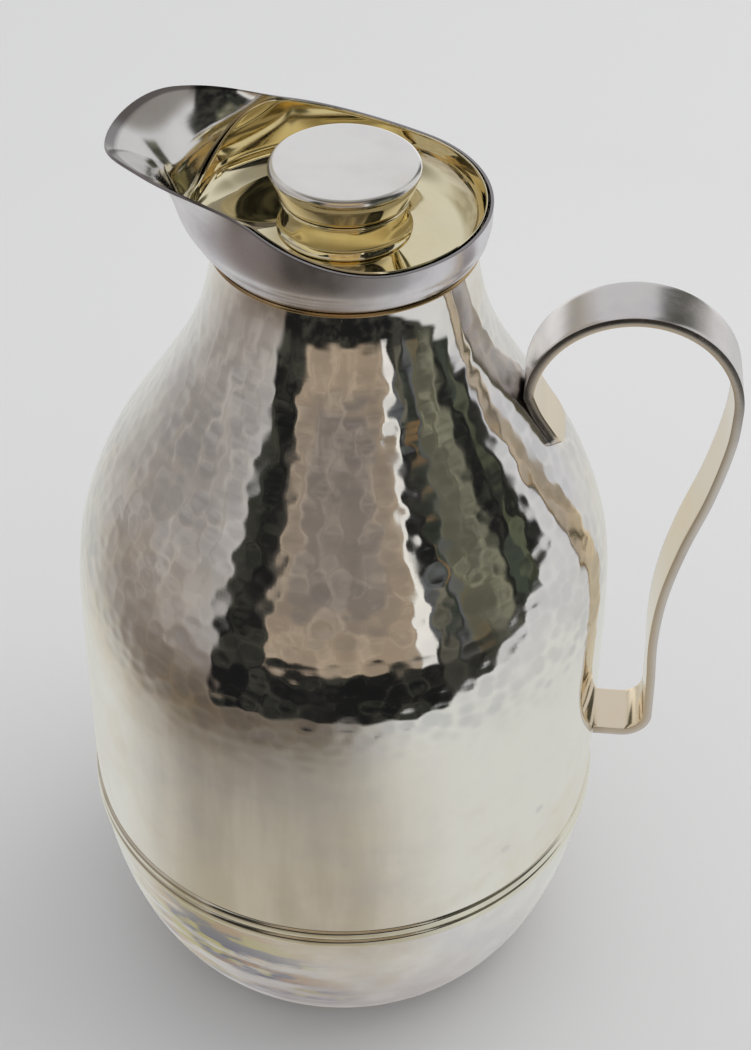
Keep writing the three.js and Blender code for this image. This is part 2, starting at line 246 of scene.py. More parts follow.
@dataclass(frozen=True)
class Plate:
    """Metal plate with tarnish clouds, hairlines, smudges, a little pitting and, where asked, painted
    shade and painted reflections.
    """

    slot: str
    bright: Colour
    tarnish: Colour
    cool: Colour
    polish: float
    haze: float
    hairline: float
    tarnish_low: float = 0.4
    tarnish_high: float = 0.7
    grain: Grain = Grain.TURNED
    cloud_scale: float = 16.0
    hammered: bool = False
    rimmed: bool = False
    # Paints a warm reflection on the face that looks towards the body.
    painted_warm_reflection_inside: bool = False
    # Besides tarnish streaks, paints shade that darkens the cup towards its foot.
    bloom: bool = False
    # Painted shade laid into the hollows of the hammer marks.
    shade: Colour = (0.66, 0.66, 0.67)
    # Colour of the painted warm reflection on the inner face.
    inner_reflection_warm: Colour = (0.92, 0.76, 0.50)
    inner_bright: Colour = (0.86, 0.85, 0.84)
    inner_dull: Colour = (0.70, 0.68, 0.66)
    rim_tint: Colour = (0.20, 0.18, 0.19)

    def material(self) -> bpy.types.Material:
        """Build the material."""
        shader = Shader(self.slot + "_plate")
        clouds = shader.noise(shader.place(), self.cloud_scale, 5.0, 0.6)
        shifted = shader.place(shift=(0.31, 0.17, 0.05))
        blotches = shader.noise(shifted, self.cloud_scale * 5.0, 3.0)
        stain = (clouds * 0.7 + blotches * 0.3).between(self.tarnish_low, self.tarnish_high)
        drift = shader.noise(shader.place(shift=(0.5, 0.2, 0.8)), self.cloud_scale * 0.7, 3.0)
        dull = shader.mix(drift.between(0.4, 0.6), self.tarnish, self.cool)
        colour = shader.mix(stain, self.bright, dull)
        if self.hammered:
            # Painted shade: the hollows of the hammer marks are darkened, unevenly.
            hollow = shader.stored(HOLLOW)
            uneven = shader.noise(shader.place(shift=(0.1, 0.8, 0.3)), 30.0, 3.0)
            hollow_shade_share = uneven.between(0.35, 0.65) * 0.55 + 0.15
            colour = shader.mix(hollow.between(0.1, 0.9) * hollow_shade_share, colour, self.shade)
        if self.bloom:
            colour = self.tarnish_and_foot_shade(shader, colour)
        smudge = shader.noise(shader.place(shift=(0.7, 0.4, 0.9)), 38.0, 4.0, 0.65)
        smudge = smudge.between(0.42, 0.72)
        hairs = shader.noise(shader.place(self.grain.value), 1.0, 2.0, 0.7)
        specks = shader.noise(shader.place(shift=(0.2, 0.9, 0.6)), 1500.0, 1.0)
        pits = specks.between(0.78, 0.84)
        roughness = self.polish + smudge * self.haze + stain * (self.haze * 0.5) + pits * 0.2
        if self.painted_warm_reflection_inside:
            # Painted reflection: the strap's face towards the body is tinted warm.
            inside = shader.stored(INSIDE)
            colour = shader.mix(inside * (0.6 + stain * 0.3), colour, self.inner_reflection_warm)
            roughness = roughness * (1.0 - inside * 0.5)
        if self.rimmed:
            inside = shader.stored(INSIDE)
            lining = shader.mix(stain, self.inner_bright, self.inner_dull)
            colour = shader.mix(inside, colour, lining)
            colour = shader.mix(shader.stored(RIM) * 0.8, colour, self.rim_tint)
            roughness = roughness * (1.0 - inside * 0.65)
        fine = shader.bump(hairs, 1.0, self.hairline * MM)
        sockets = {
            "Base Color": colour,
            "Metallic": 1.0,
            "Roughness": roughness,
            "Normal": shader.bump(pits, 0.3, -0.02 * MM, fine),
        }
        return shader.finish(sockets)

    @staticmethod
    def tarnish_and_foot_shade(shader: Shader, colour: Signal) -> Signal:
        """Lay streaks of brown, gold and blue tarnish on one side of the cup and paint shade towards
        its foot.

        Args:
            shader: the material's node tree.
            colour: the colour below them.

        Returns:
            The stained colour, darkened by painted shade near the foot.
        """
        coordinates = shader.place()
        settings = {"operation": "DISTANCE"}
        centre = (-0.030, -0.062, 0.026)
        solid, faded = 0.014, 0.052
        away = shader.node("ShaderNodeVectorMath", settings, {0: coordinates, 1: centre}, output=1)
        near = 1.0 - away.between(solid, faded)
        streaks = shader.noise(shader.place((14.0, 14.0, 70.0), (0.3, 0.6, 0.1)), 1.4, 5.0, 0.6)
        patches = shader.noise(shader.place((34.0, 34.0, 80.0), (0.9, 0.1, 0.4)), 1.0, 3.0)
        spots = shader.noise(shader.place((60.0, 60.0, 110.0), (0.2, 0.5, 0.7)), 1.0, 2.0)
        brown, blue = (0.62, 0.41, 0.22), (0.19, 0.20, 0.28)
        gold, foot_shade = (0.62, 0.56, 0.22), (0.52, 0.46, 0.42)
        bloom = shader.mix(patches.between(0.44, 0.56), brown, blue)
        bloom = shader.mix(spots.between(0.54, 0.62), bloom, gold)
        stained = shader.mix(near * streaks.between(0.42, 0.56), colour, bloom)
        # Painted shade: the cup darkens towards its foot, in streaks.
        height = shader.node("ShaderNodeSeparateXYZ", {}, {0: coordinates}, output=2)
        foot, faded_up = 0.004, 0.034
        low = 1.0 - height.between(foot, faded_up)
        return shader.mix(low * (streaks * 0.5 + 0.35), stained, foot_shade)


@dataclass(frozen=True)
class SilveredGlass:
    """Thin blown glass with a mirror coat behind it."""

    slot: str = "flask_glass"
    tint: Colour = (0.80, 0.81, 0.83)
    shadow: Colour = (0.62, 0.60, 0.58)

    def material(self) -> bpy.types.Material:
        """Build the material."""
        shader = Shader(self.slot + "_mirror")
        drift = shader.noise(shader.place(scale=(1.0, 1.0, 0.4)), 26.0, 4.0)
        sweep = shader.noise(shader.place(scale=(1.0, 1.0, 0.3)), 14.0, 2.0)
        sockets = {
            "Base Color": shader.mix(drift.between(0.45, 0.75), self.tint, self.shadow),
            "Metallic": 1.0,
            "Roughness": drift * 0.08 + 0.02,
            "Coat Weight": 1.0,
            "Coat Roughness": 0.02,
            "Normal": shader.bump(sweep, 0.35, 2.0 * MM),
        }
        return shader.finish(sockets)


@dataclass(frozen=True)
class Moulded:
    """Moulded plastic or rubber with a fine spark-eroded skin."""

    slot: str
    tint: Colour
    scuff: Colour
    gloss: float
    skin: float

    def material(self) -> bpy.types.Material:
        """Build the material."""
        shader = Shader(self.slot + "_moulding")
        wear = shader.noise(shader.place(), 60.0, 5.0, 0.65).between(0.5, 0.8)
        grain = shader.noise(shader.place(), 2400.0, 2.0)
        sockets = {
            "Base Color": shader.mix(wear, self.tint, self.scuff),
            "Roughness": wear * 0.12 + self.gloss,
            "Normal": shader.bump(grain, 0.5, self.skin * MM),
        }
        return shader.finish(sockets)


@dataclass(frozen=True)
class Felt:
    """Pressed wool felt with loose fibres."""

    slot: str = "felt"
    tint: Colour = (0.045, 0.075, 0.04)
    fibre: Colour = (0.13, 0.17, 0.10)

    def material(self) -> bpy.types.Material:
        """Build the material."""
        shader = Shader(self.slot + "_wool")
        tufts = shader.noise(shader.place(), 420.0, 6.0, 0.75)
        strands = shader.noise(shader.place(scale=(1.0, 0.12, 1.0)), 1600.0, 4.0, 0.8)
        fibres = (tufts * 0.5 + strands * 0.5).between(0.46, 0.66)
        sockets = {
            "Base Color": shader.mix(fibres, self.tint, self.fibre),
            "Roughness": 0.95,
            "Sheen Weight": 0.4,
            "Normal": shader.bump(tufts + strands, 0.8, 0.4 * MM),
        }
        return shader.finish(sockets)


HAMMERED_SILVER = Plate(
    slot="hammered_silver",
    bright=(0.95, 0.93, 0.88),
    tarnish=(0.86, 0.78, 0.64),
    cool=(0.84, 0.82, 0.85),
    tarnish_low=0.42,
    tarnish_high=0.66,
    polish=0.045,
    haze=0.07,
    grain=Grain.EVEN,
    hairline=0.0015,
    cloud_scale=13.0,
    # Hammering also lays painted shade into the hollows of the marks.
    hammered=True,
)
SATIN_SILVER = Plate(
    slot="satin_silver",
    bright=(0.96, 0.95, 0.94),
    tarnish=(0.88, 0.84, 0.79),
    cool=(0.86, 0.84, 0.88),
    tarnish_low=0.45,
    polish=0.16,
    haze=0.12,
    hairline=0.004,
)
BEAD_SILVER = Plate(
    slot="satin_silver",
    bright=(0.90, 0.87, 0.75),
    tarnish=(0.66, 0.60, 0.42),
    cool=(0.76, 0.73, 0.62),
    tarnish_low=0.45,
    tarnish_high=0.66,
    polish=0.07,
    haze=0.1,
    hairline=0.003,
)
CUP_SILVER = Plate(
    slot="satin_silver",
    bright=(0.93, 0.92, 0.89),
    tarnish=(0.84, 0.79, 0.70),
    cool=(0.83, 0.80, 0.84),
    tarnish_low=0.42,
    tarnish_high=0.66,
    polish=0.12,
    haze=0.14,
    hairline=0.005,
    # Tarnish streaks, and painted shade towards the foot.
    bloom=True,
)
COLLAR_SILVER = Plate(
    slot="collar_silver",
    bright=(0.84, 0.82, 0.87),
    tarnish=(0.62, 0.58, 0.61),
    cool=(0.72, 0.70, 0.79),
    polish=0.24,
    haze=0.14,
    hairline=0.004,
    rimmed=True,
)
HANDLE_SILVER = Plate(
    slot="handle_silver",
    bright=(0.76, 0.73, 0.73),
    tarnish=(0.58, 0.52, 0.46),
    cool=(0.66, 0.63, 0.68),
    tarnish_low=0.45,
    polish=0.19,
    haze=0.12,
    grain=Grain.ALONG_STRAP,
    hairline=0.005,
    # The strap's face towards the body gets a painted warm reflection.
    painted_warm_reflection_inside=True,
)
GILT = Plate(
    slot="gilt",
    bright=(0.92, 0.84, 0.60),
    tarnish=(0.82, 0.70, 0.44),
    cool=(0.86, 0.82, 0.64),
    polish=0.03,
    haze=0.05,
    hairline=0.0012,
)
THREAD_BRASS = Plate(
    slot="thread_brass",
    bright=(0.58, 0.41, 0.21),
    tarnish=(0.26, 0.16, 0.08),
    cool=(0.20, 0.13, 0.09),
    polish=0.2,
    haze=0.2,
    hairline=0.006,
)
STEEL = Plate(
    slot="steel",
    bright=(0.62, 0.63, 0.64),
    tarnish=(0.42, 0.41, 0.40),
    cool=(0.45, 0.46, 0.48),
    tarnish_low=0.5,
    tarnish_high=0.75,
    polish=0.18,
    haze=0.12,
    hairline=0.006,
)
GLASS = SilveredGlass()
BLACK_PLASTIC = Moulded("black_plastic", (0.018, 0.018, 0.019), (0.05, 0.05, 0.05), 0.38, 0.03)
WHITE_RUBBER = Moulded("white_rubber", (0.72, 0.70, 0.63), (0.55, 0.52, 0.45), 0.6, 0.04)
FELT = Felt()

Finish = Plate | SilveredGlass | Moulded | Felt


# ---- mesh building ----------------------------------------------------------------------------


@dataclass(frozen=True)
class Span:
    """Where a CAD node lies, in millimetres."""

    bottom: float
    top: float
    radius: float

    @staticmethod
    def of(node: str) -> "Span":
        """The height range of a node of the frame, and its greatest radius along Y."""
        low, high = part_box(node)
        return Span(low.z / MM, high.z / MM, high.y / MM)

    @property
    def middle(self) -> float:
        """Its middle height."""
        return (self.bottom + self.top) / 2

    @property
    def half(self) -> float:
        """Half its height."""
        return (self.top - self.bottom) / 2


def hoop(inner: float, outer: float, bottom: float, top: float) -> Outline:
    """The four corners of a plain ring's section, from the lower inner one."""
    return [(inner, bottom), (outer, bottom), (outer, top), (inner, top)]


def deselect_everything() -> None:
    """Leave edit mode and select nothing."""
    if bpy.context.object is not None and bpy.context.object.mode != "OBJECT":
        bpy.ops.object.mode_set(mode="OBJECT")
    bpy.ops.object.select_all(action="DESELECT")


def activate(piece: bpy.types.Object) -> None:
    """Select one object and nothing else."""
    deselect_everything()
    piece.select_set(True)
    bpy.context.view_layer.objects.active = piece


def smooth_line(knots: Sequence[Point], steps: int) -> Outline:
    """A Catmull-Rom curve through the knots.

    Args:
        knots: the points it passes through.
        steps: how many equal steps it is cut into.

    Returns:
        Its points.
    """
    line = []
    last = len(knots) - 1
    for i in range(steps + 1):
        place = last * i / steps
        index = min(int(place), last - 1)
        t = place - index
        a, b = knots[index], knots[index + 1]
        before = knots[index - 1] if index > 0 else a
        after = knots[index + 2] if index + 2 <= last else b
        point = []
        for axis in range(2):
            v0 = (b[axis] - before[axis]) * 0.5
            v1 = (after[axis] - a[axis]) * 0.5
            p0, p1 = a[axis], b[axis]
            cubic = (2 * p0 - 2 * p1 + v0 + v1) * t**3
            square = (-3 * p0 + 3 * p1 - 2 * v0 - v1) * t**2
            point.append(cubic + square + v0 * t + p0)
        line.append((point[0], point[1]))
    return line


def offset_line(line: Sequence[Point], distance: float) -> Outline:
    """The same line moved to the left of its own direction.

    Args:
        line: the points.
        distance: how far, negative for the right.

    Returns:
        The moved points.
    """
    moved = []
    for i, (x, y) in enumerate(line):
        x0, y0 = line[max(i - 1, 0)]
        x1, y1 = line[min(i + 1, len(line) - 1)]
        length = math.hypot(x1 - x0, y1 - y0)
        moved.append((x - (y1 - y0) / length * distance, y + (x1 - x0) / length * distance))
    return moved


def arc(centre: Point, radius: float, start: float, end: float, steps: int) -> Outline:
    """Points on a circular arc.

    Args:
        centre: the circle's centre.
        radius: its radius.
        start: first angle in degrees.
        end: last angle in degrees.
        steps: number of steps.

    Returns:
        The points, ends included.
    """
    points = []
    for i in range(steps + 1):
        angle = math.radians(start + (end - start) * i / steps)
        points.append((centre[0] + radius * math.cos(angle), centre[1] + radius * math.sin(angle)))
    return points


def start_vertex(point: Vector) -> bpy.types.Object:
    """Add a plane and merge it into one vertex, ready to be extruded.

    Args:
        point: where the vertex goes, in metres.

    Returns:
        The new object, in edit mode with that vertex selected.
    """
    deselect_everything()
    bpy.ops.mesh.primitive_plane_add(size=MM, location=point)
    bpy.ops.object.mode_set(mode="EDIT")
    bpy.ops.mesh.select_all(action="SELECT")
    bpy.ops.mesh.merge(type="CENTER")
    return bpy.context.object


def extrude_by(step: Vector) -> None:
    """Extrude what is selected by a step in metres."""
    bpy.ops.mesh.extrude_region_move(TRANSFORM_OT_translate={"value": step})


def close_seams(outwards: bool = True) -> None:
    """Merge doubles in edit mode and, if asked, turn the faces outwards."""
    bpy.ops.mesh.select_all(action="SELECT")
    bpy.ops.mesh.remove_doubles(threshold=0.002 * MM)
    if outwards:
        bpy.ops.mesh.normals_make_consistent(inside=False)


def settle(piece: bpy.types.Object, name: str) -> bpy.types.Object:
    """Leave edit mode, apply the object's place and name it.

    Args:
        piece: the object.
        name: its final name.

    Returns:
        The object.
    """
    bpy.ops.object.mode_set(mode="OBJECT")
    bpy.ops.object.transform_apply(location=True, rotation=True, scale=True)
    piece.name = name
    piece.data.name = name
    return piece


def turn(name: str, outline: Sequence[Point], steps: int, closed: bool = True) -> bpy.types.Object:
    """Spin an outline about the jug's axis.

    Args:
        name: the new object's name.
        outline: radius and height of each corner, in millimetres.
        steps: facets round the axis.
        closed: whether the outline runs back to its start.

    Returns:
        The new object.
    """
    points = [Vector((radius, 0.0, z)) * MM for radius, z in outline]
    on_axis = outline[0][0] == 0.0
    piece = start_vertex(points[0])
    for before, after in zip(points, points[1:]):
        extrude_by(after - before)
    if closed and not on_axis:
        extrude_by(points[0] - points[-1])
    bpy.ops.mesh.select_all(action="SELECT")
    bpy.ops.mesh.spin(steps=steps, angle=2 * math.pi, center=(0, 0, 0), axis=(0, 0, 1))
    close_seams()
    return settle(piece, name)


def points_of(piece: bpy.types.Object) -> np.ndarray:
    """A mesh's points in millimetres, one row each."""
    points = np.zeros(len(piece.data.vertices) * 3)
    piece.data.vertices.foreach_get("co", points)
    return points.reshape(-1, 3) / MM


def reshape(piece: bpy.types.Object, move: Callable[[np.ndarray], np.ndarray]) -> None:
    """Move all of a mesh's points at once.

    Args:
        piece: the object.
        move: takes the points in millimetres and gives them back moved.
    """
    moved = move(points_of(piece)) * MM
    piece.data.vertices.foreach_set("co", moved.ravel())
    piece.data.update()


def store(piece: bpy.types.Object, name: str, values: np.ndarray) -> None:
    """Keep one number for each point of a mesh, for its material to read."""
    layer = piece.data.attributes.new(name, "FLOAT", "POINT")
    layer.data.foreach_set("value", values.astype(np.float32))


def apply_modifier(piece: bpy.types.Object, kind: str, settings: dict) -> None:
    """Add a modifier and apply it.

    Args:
        piece: the object.
        kind: the modifier's type.
        settings: its properties.
    """
    activate(piece)
    modifier = piece.modifiers.new(kind.lower(), kind)
    for key, value in settings.items():
        setattr(modifier, key, value)
    bpy.ops.object.modifier_apply(modifier=modifier.name)


def carve(piece: bpy.types.Object, cutter: bpy.types.Object) -> None:
    """Take the cutter's volume out of a piece and remove the cutter."""
    settings = {"operation": "DIFFERENCE", "solver": "EXACT", "object": cutter}
    apply_modifier(piece, "BOOLEAN", settings)
    bpy.data.objects.remove(cutter)


def soften_edges(piece: bpy.types.Object, width: float, angle: float = 35.0) -> None:
    """Round a piece's corners.

    Args:
        piece: the object.
        width: the bevel's width in millimetres.
        angle: corners sharper than this are rounded, in degrees.
    """
    settings = {
        "width": width * MM,
        "segments": 3,
        "limit_method": "ANGLE",
        "angle_limit": math.radians(angle),
        "use_clamp_overlap": True,
        "harden_normals": False,
    }
    apply_modifier(piece, "BEVEL", settings)


def dress(piece: bpy.types.Object, finish: Finish, body: Body, *nodes: str) -> None:
    """Shade a piece, give it its material and fix it to the frame.

    Args:
        piece: the finished mesh.
        finish: its finish.
        body: the body it moves with.
        nodes: the CAD nodes that it stands for.
    """
    activate(piece)
    bpy.ops.object.shade_smooth_by_angle(angle=math.radians(SMOOTH_BELOW))
    piece.data.materials.clear()
    piece.data.materials.append(material_of(finish))
    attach(piece, body.value)
    if nodes:
        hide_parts(*nodes)
    log.info("%s: %d faces, on %s", piece.name, len(piece.data.polygons), body.value)


def turn_dressed(
    name: str,
    outline: Sequence[Point],
    steps: int,
    finish: Finish,
    body: Body,
    node: str,
    edge: float = 0.0,
) -> None:
    """Turn a piece, round its corners and dress it.

    Args:
        name: the new piece's name.
        outline: radius and height of each corner, in millimetres.
        steps: facets round the axis.
        finish: its finish.
        body: the body it moves with.
        node: the CAD node it stands for.
        edge: rounding of its corners in millimetres, 0 for none.
    """
    piece = turn(name, outline, steps)
    if edge > 0:
        soften_edges(piece, edge)
    dress(piece, finish, body, node)


_materials: dict[Finish, bpy.types.Material] = {}


def material_of(finish: Finish) -> bpy.types.Material:
    """The finish's material, made once."""
    if finish not in _materials:
        _materials[finish] = finish.material()
    return _materials[finish]


# ---- the body shell ---------------------------------------------------------------------------


@dataclass
class HammeredBody:
    """The body shell, its planishing marks, its bead and its thread.

    Each pair in lean is a height in millimetres and how far the wall leans in there, in degrees.
    The marks stand in rings. Ring_gap, scatter, drift and reach are shares of mark_width; depth
    and softness are shares of mark_depth. The hammering grows from hammer_low over hammer_rise
    and fades towards hammer_high over hammer_fade. Dents are single places, in millimetres.
    """

    sheet: float = 1.2
    foot_radius: float = 79.4
    lean: tuple[Point, ...] = (
        (61.7, -0.4),
        (75.0, -0.3),
        (95.0, 0.7),
        (115.0, 0.6),
        (130.0, 1.0),
        (142.0, 2.6),
        (150.0, 5.2),
        (156.0, 9.5),
        (162.0, 15.0),
        (170.0, 20.3),
        (184.0, 27.8),
        (192.0, 33.0),
        (200.0, 34.5),
        (212.0, 32.0),
        (222.0, 28.6),
        (232.0, 20.6),
        (240.0, 14.4),
        (248.0, 10.6),
        (253.0, 4.0),
        (255.6, 1.0),
    )
    neck_radius: float = 35.2
    thread_radius: float = 74.2
    mark_width: float = 5.4
    mark_depth: float = 0.15
    ring_gap: float = 0.82
    scatter: float = 0.3
    drift: float = 0.27
    reach: Point = (0.55, 0.8)
    depth: Point = (0.5, 1.35)
    softness: float = 0.09
    neighbours: int = 5
    hammer_low: float = 128.0
    hammer_rise: float = 30.0
    hammer_high: float = 252.0
    hammer_fade: float = 22.0
    plain_edge: float = 1.5
    squash: float = 1.22
    seed: int = 7
    dents: tuple[Triple, ...] = (
        (54.2, -58.2, 84.0),
        (63.4, -48.0, 91.2),
        (3.0, -50.4, 210.1),
        (8.1, -77.9, 148.0),
        (16.5, -76.5, 149.0),
        (-58.2, -34.3, 183.0),
    )
    dent_reach: float = 2.1
    dent_depth: float = 0.24

    def wall(self, steps: int) -> Outline:
        """Outer wall from the foot to the neck.

        Args:
            steps: how many steps it is cut into.

        Returns:
            Radius and height of each point.
        """
        span = Span.of("body_shell")
        z = np.linspace(span.bottom, span.top, 1201)
        heights, leans = zip(*self.lean)
        slope = np.tan(np.radians(np.interp(z, heights, leans)))
        drop = np.concatenate([[0.0], np.cumsum((slope[1:] + slope[:-1]) / 2 * np.diff(z))])
        radius = self.foot_radius - drop * (self.foot_radius - self.neck_radius) / drop[-1]
        travelled = np.concatenate([[0.0], np.cumsum(np.hypot(np.diff(radius), np.diff(z)))])
        places = np.linspace(0.0, travelled[-1], steps + 1)
        radii, heights = np.interp(places, travelled, radius), np.interp(places, travelled, z)
        return list(zip(radii.tolist(), heights.tolist()))

    def marks(self) -> list[tuple[Vector, float, float]]:
        """Place one hammer mark after another in rings round the body.

        Returns:
            Centre, reach and depth of each mark, in millimetres.
        """
        chance = random.Random(self.seed)
        fine = self.wall(600)
        placed = []
        travelled = 0.0
        for (r0, z0), (r1, z1) in zip(fine, fine[1:]):
            travelled += math.hypot(r1 - r0, z1 - z0)
            if travelled < self.mark_width * self.ring_gap / self.squash:
                continue
            travelled = 0.0
            count = round(2 * math.pi * r1 / self.mark_width)
            turn_by = chance.random()
            for i in range(count):
                place = i + turn_by + chance.uniform(-self.scatter, self.scatter)
                angle = 2 * math.pi * place / count
                z = z1 + chance.uniform(-self.drift, self.drift) * self.mark_width / self.squash
                centre = Vector((r1 * math.cos(angle), r1 * math.sin(angle), z))
                reach = self.mark_width * chance.uniform(*self.reach)
                depth = self.mark_depth * chance.uniform(*self.depth) * self.strength(z)
                placed.append((centre, reach, depth))
        placed += [(Vector(place), self.dent_reach, self.dent_depth) for place in self.dents]
        return placed

    def strength(self, z: float) -> float:
        """How strongly the body is hammered at a height.

        Args:
            z: the height in millimetres.

        Returns:
            A share from 0 to 1.
        """
        rise = min(max((z - self.hammer_low) / self.hammer_rise, 0.0), 1.0)
        rise = rise * rise * (3 - 2 * rise)
        fade = min(max((self.hammer_high - z) / self.hammer_fade, 0.0), 1.0)
        return (0.07 + 0.93 * rise) * (0.2 + 0.8 * fade)

    def hammer(self, piece: bpy.types.Object) -> None:
        """Press the marks into the outer wall.

        Args:
            piece: the plain shell.
        """
        marks = self.marks()
        tree = KDTree(len(marks))
        squash = Vector((1.0, 1.0, self.squash))
        for i, (centre, _, _) in enumerate(marks):
            tree.insert(centre * squash, i)
        tree.balance()
        hollow = np.zeros(len(piece.data.vertices))
        profile = self.wall(400)
        heights = np.array([z for _, z in profile])
        radii = np.array([r for r, _ in profile])

        def press(points: np.ndarray) -> np.ndarray:
            """Move each point of the outer wall inwards by the nearest marks."""
            radius = np.hypot(points[:, 0], points[:, 1])
            wall = np.interp(points[:, 2], heights, radii)
            softness = self.softness * self.mark_depth
            for index in np.nonzero(radius > wall - 0.25)[0]:
                place = Vector(points[index]) * squash
                total = 0.0
                for _, number, distance in tree.find_n(place, self.neighbours):
                    _, reach, depth = marks[number]
                    dip = depth * min((distance / reach) ** 2 - 1.0, 0.0)
                    total += math.exp(-dip / softness)
                dip = -softness * math.log(total)
                hollow[index] = -dip / self.mark_depth
                edge = min(points[index, 2] - heights[0], heights[-1] - points[index, 2])
                dip *= min(max(edge / self.plain_edge, 0.0), 1.0)
                points[index, :2] *= 1.0 + dip / radius[index]
            return points

        reshape(piece, press)
        store(piece, HOLLOW, hollow)

    def build(self) -> None:
        """Make the shell, its bead and its thread."""
        along, around = 195, 440
        outside = self.wall(along)
        inside = offset_line(self.wall(16), self.sheet)
        inside[0] = (inside[0][0], outside[0][1])
        inside[-1] = (inside[-1][0], outside[-1][1])
        shell = turn("hammered_shell", [*outside, *reversed(inside)], around)
        self.hammer(shell)
        dress(shell, HAMMERED_SILVER, Body.JUG, "body_shell")
        bead = round_bead("upper_bead", "shell_bead", self.foot_radius - 0.3)
        dress(bead, BEAD_SILVER, Body.JUG, "shell_bead")
        ring = Span.of("shell_thread_ring")
        face = [(self.thread_radius, ring.bottom), (self.thread_radius, ring.top)]
        back = [(ring.radius, ring.top), (ring.radius, ring.bottom)]
        thread = threaded_ring("shell_thread", face, back, True)
        dress(thread, THREAD_BRASS, Body.JUG, "shell_thread_ring")


def round_bead(name: str, node: str, wall_radius: float) -> bpy.types.Object:
    """A low half-round wire soldered round the body.

    Args:
        name: the new piece's name.
        node: the CAD node it stands for.
        wall_radius: radius of the wall it sits on, in millimetres.

    Returns:
        The new object.
    """
    span = Span.of(node)
    middle, half = span.middle, span.half
    bulge = 1.05
    flat = 0.1
    outline = [(wall_radius, middle - half)]
    for share in np.sin(np.radians(np.arange(-90, 91, 7.5))):
        crown = max(1.0 - abs(float(share)) ** 3, 0.0) ** 0.5
        radius = wall_radius + flat + (bulge - flat) * crown
        outline.append((radius, middle + half * float(share)))
    outline.append((wall_radius, middle + half))
    return turn(name, outline, 256)


def groove_share(points: np.ndarray, pitch: float) -> np.ndarray:
    """How deep a helical groove is at each point, from 0 at its crest to 1 at its root."""
    lead = np.arctan2(points[:, 1], points[:, 0]) / (2 * np.pi)
    return 0.5 - 0.5 * np.cos(2 * np.pi * (points[:, 2] / pitch - lead))


def threaded_ring(name: str, face: Outline, back: Outline, inward: bool) -> bpy.types.Object:
    """A ring with a real helical thread on one face.

    Args:
        name: the new piece's name.
        face: the lowest and highest corner of the threaded face.
        back: the other corners, from the top down.
        inward: whether the thread is on the inside.

    Returns:
        The new object.
    """
    pitch, height, run_out = 2.6, 0.4, 0.8
    steps = 44
    (crest, bottom), (_, top) = face
    rows = [(crest, bottom + (top - bottom) * i / steps) for i in range(steps + 1)]
    ring = turn(name, [*rows, *back], 144)
    sign = 1.0 if inward else -1.0

    def cut(points: np.ndarray) -> np.ndarray:
        """Sink the groove between the crests of the helix."""
        radius = np.hypot(points[:, 0], points[:, 1])
        ends = np.clip(np.minimum(points[:, 2] - bottom, top - points[:, 2]) / run_out, 0, 1)
        on_face = np.abs(radius - crest) < 0.01
        depth = sign * height * groove_share(points, pitch) * ends * on_face
        points[:, :2] *= (1 + depth / radius)[:, None]
        return points

    reshape(ring, cut)
    return ring


# ---- the collar and its dish ------------------------------------------------------------------


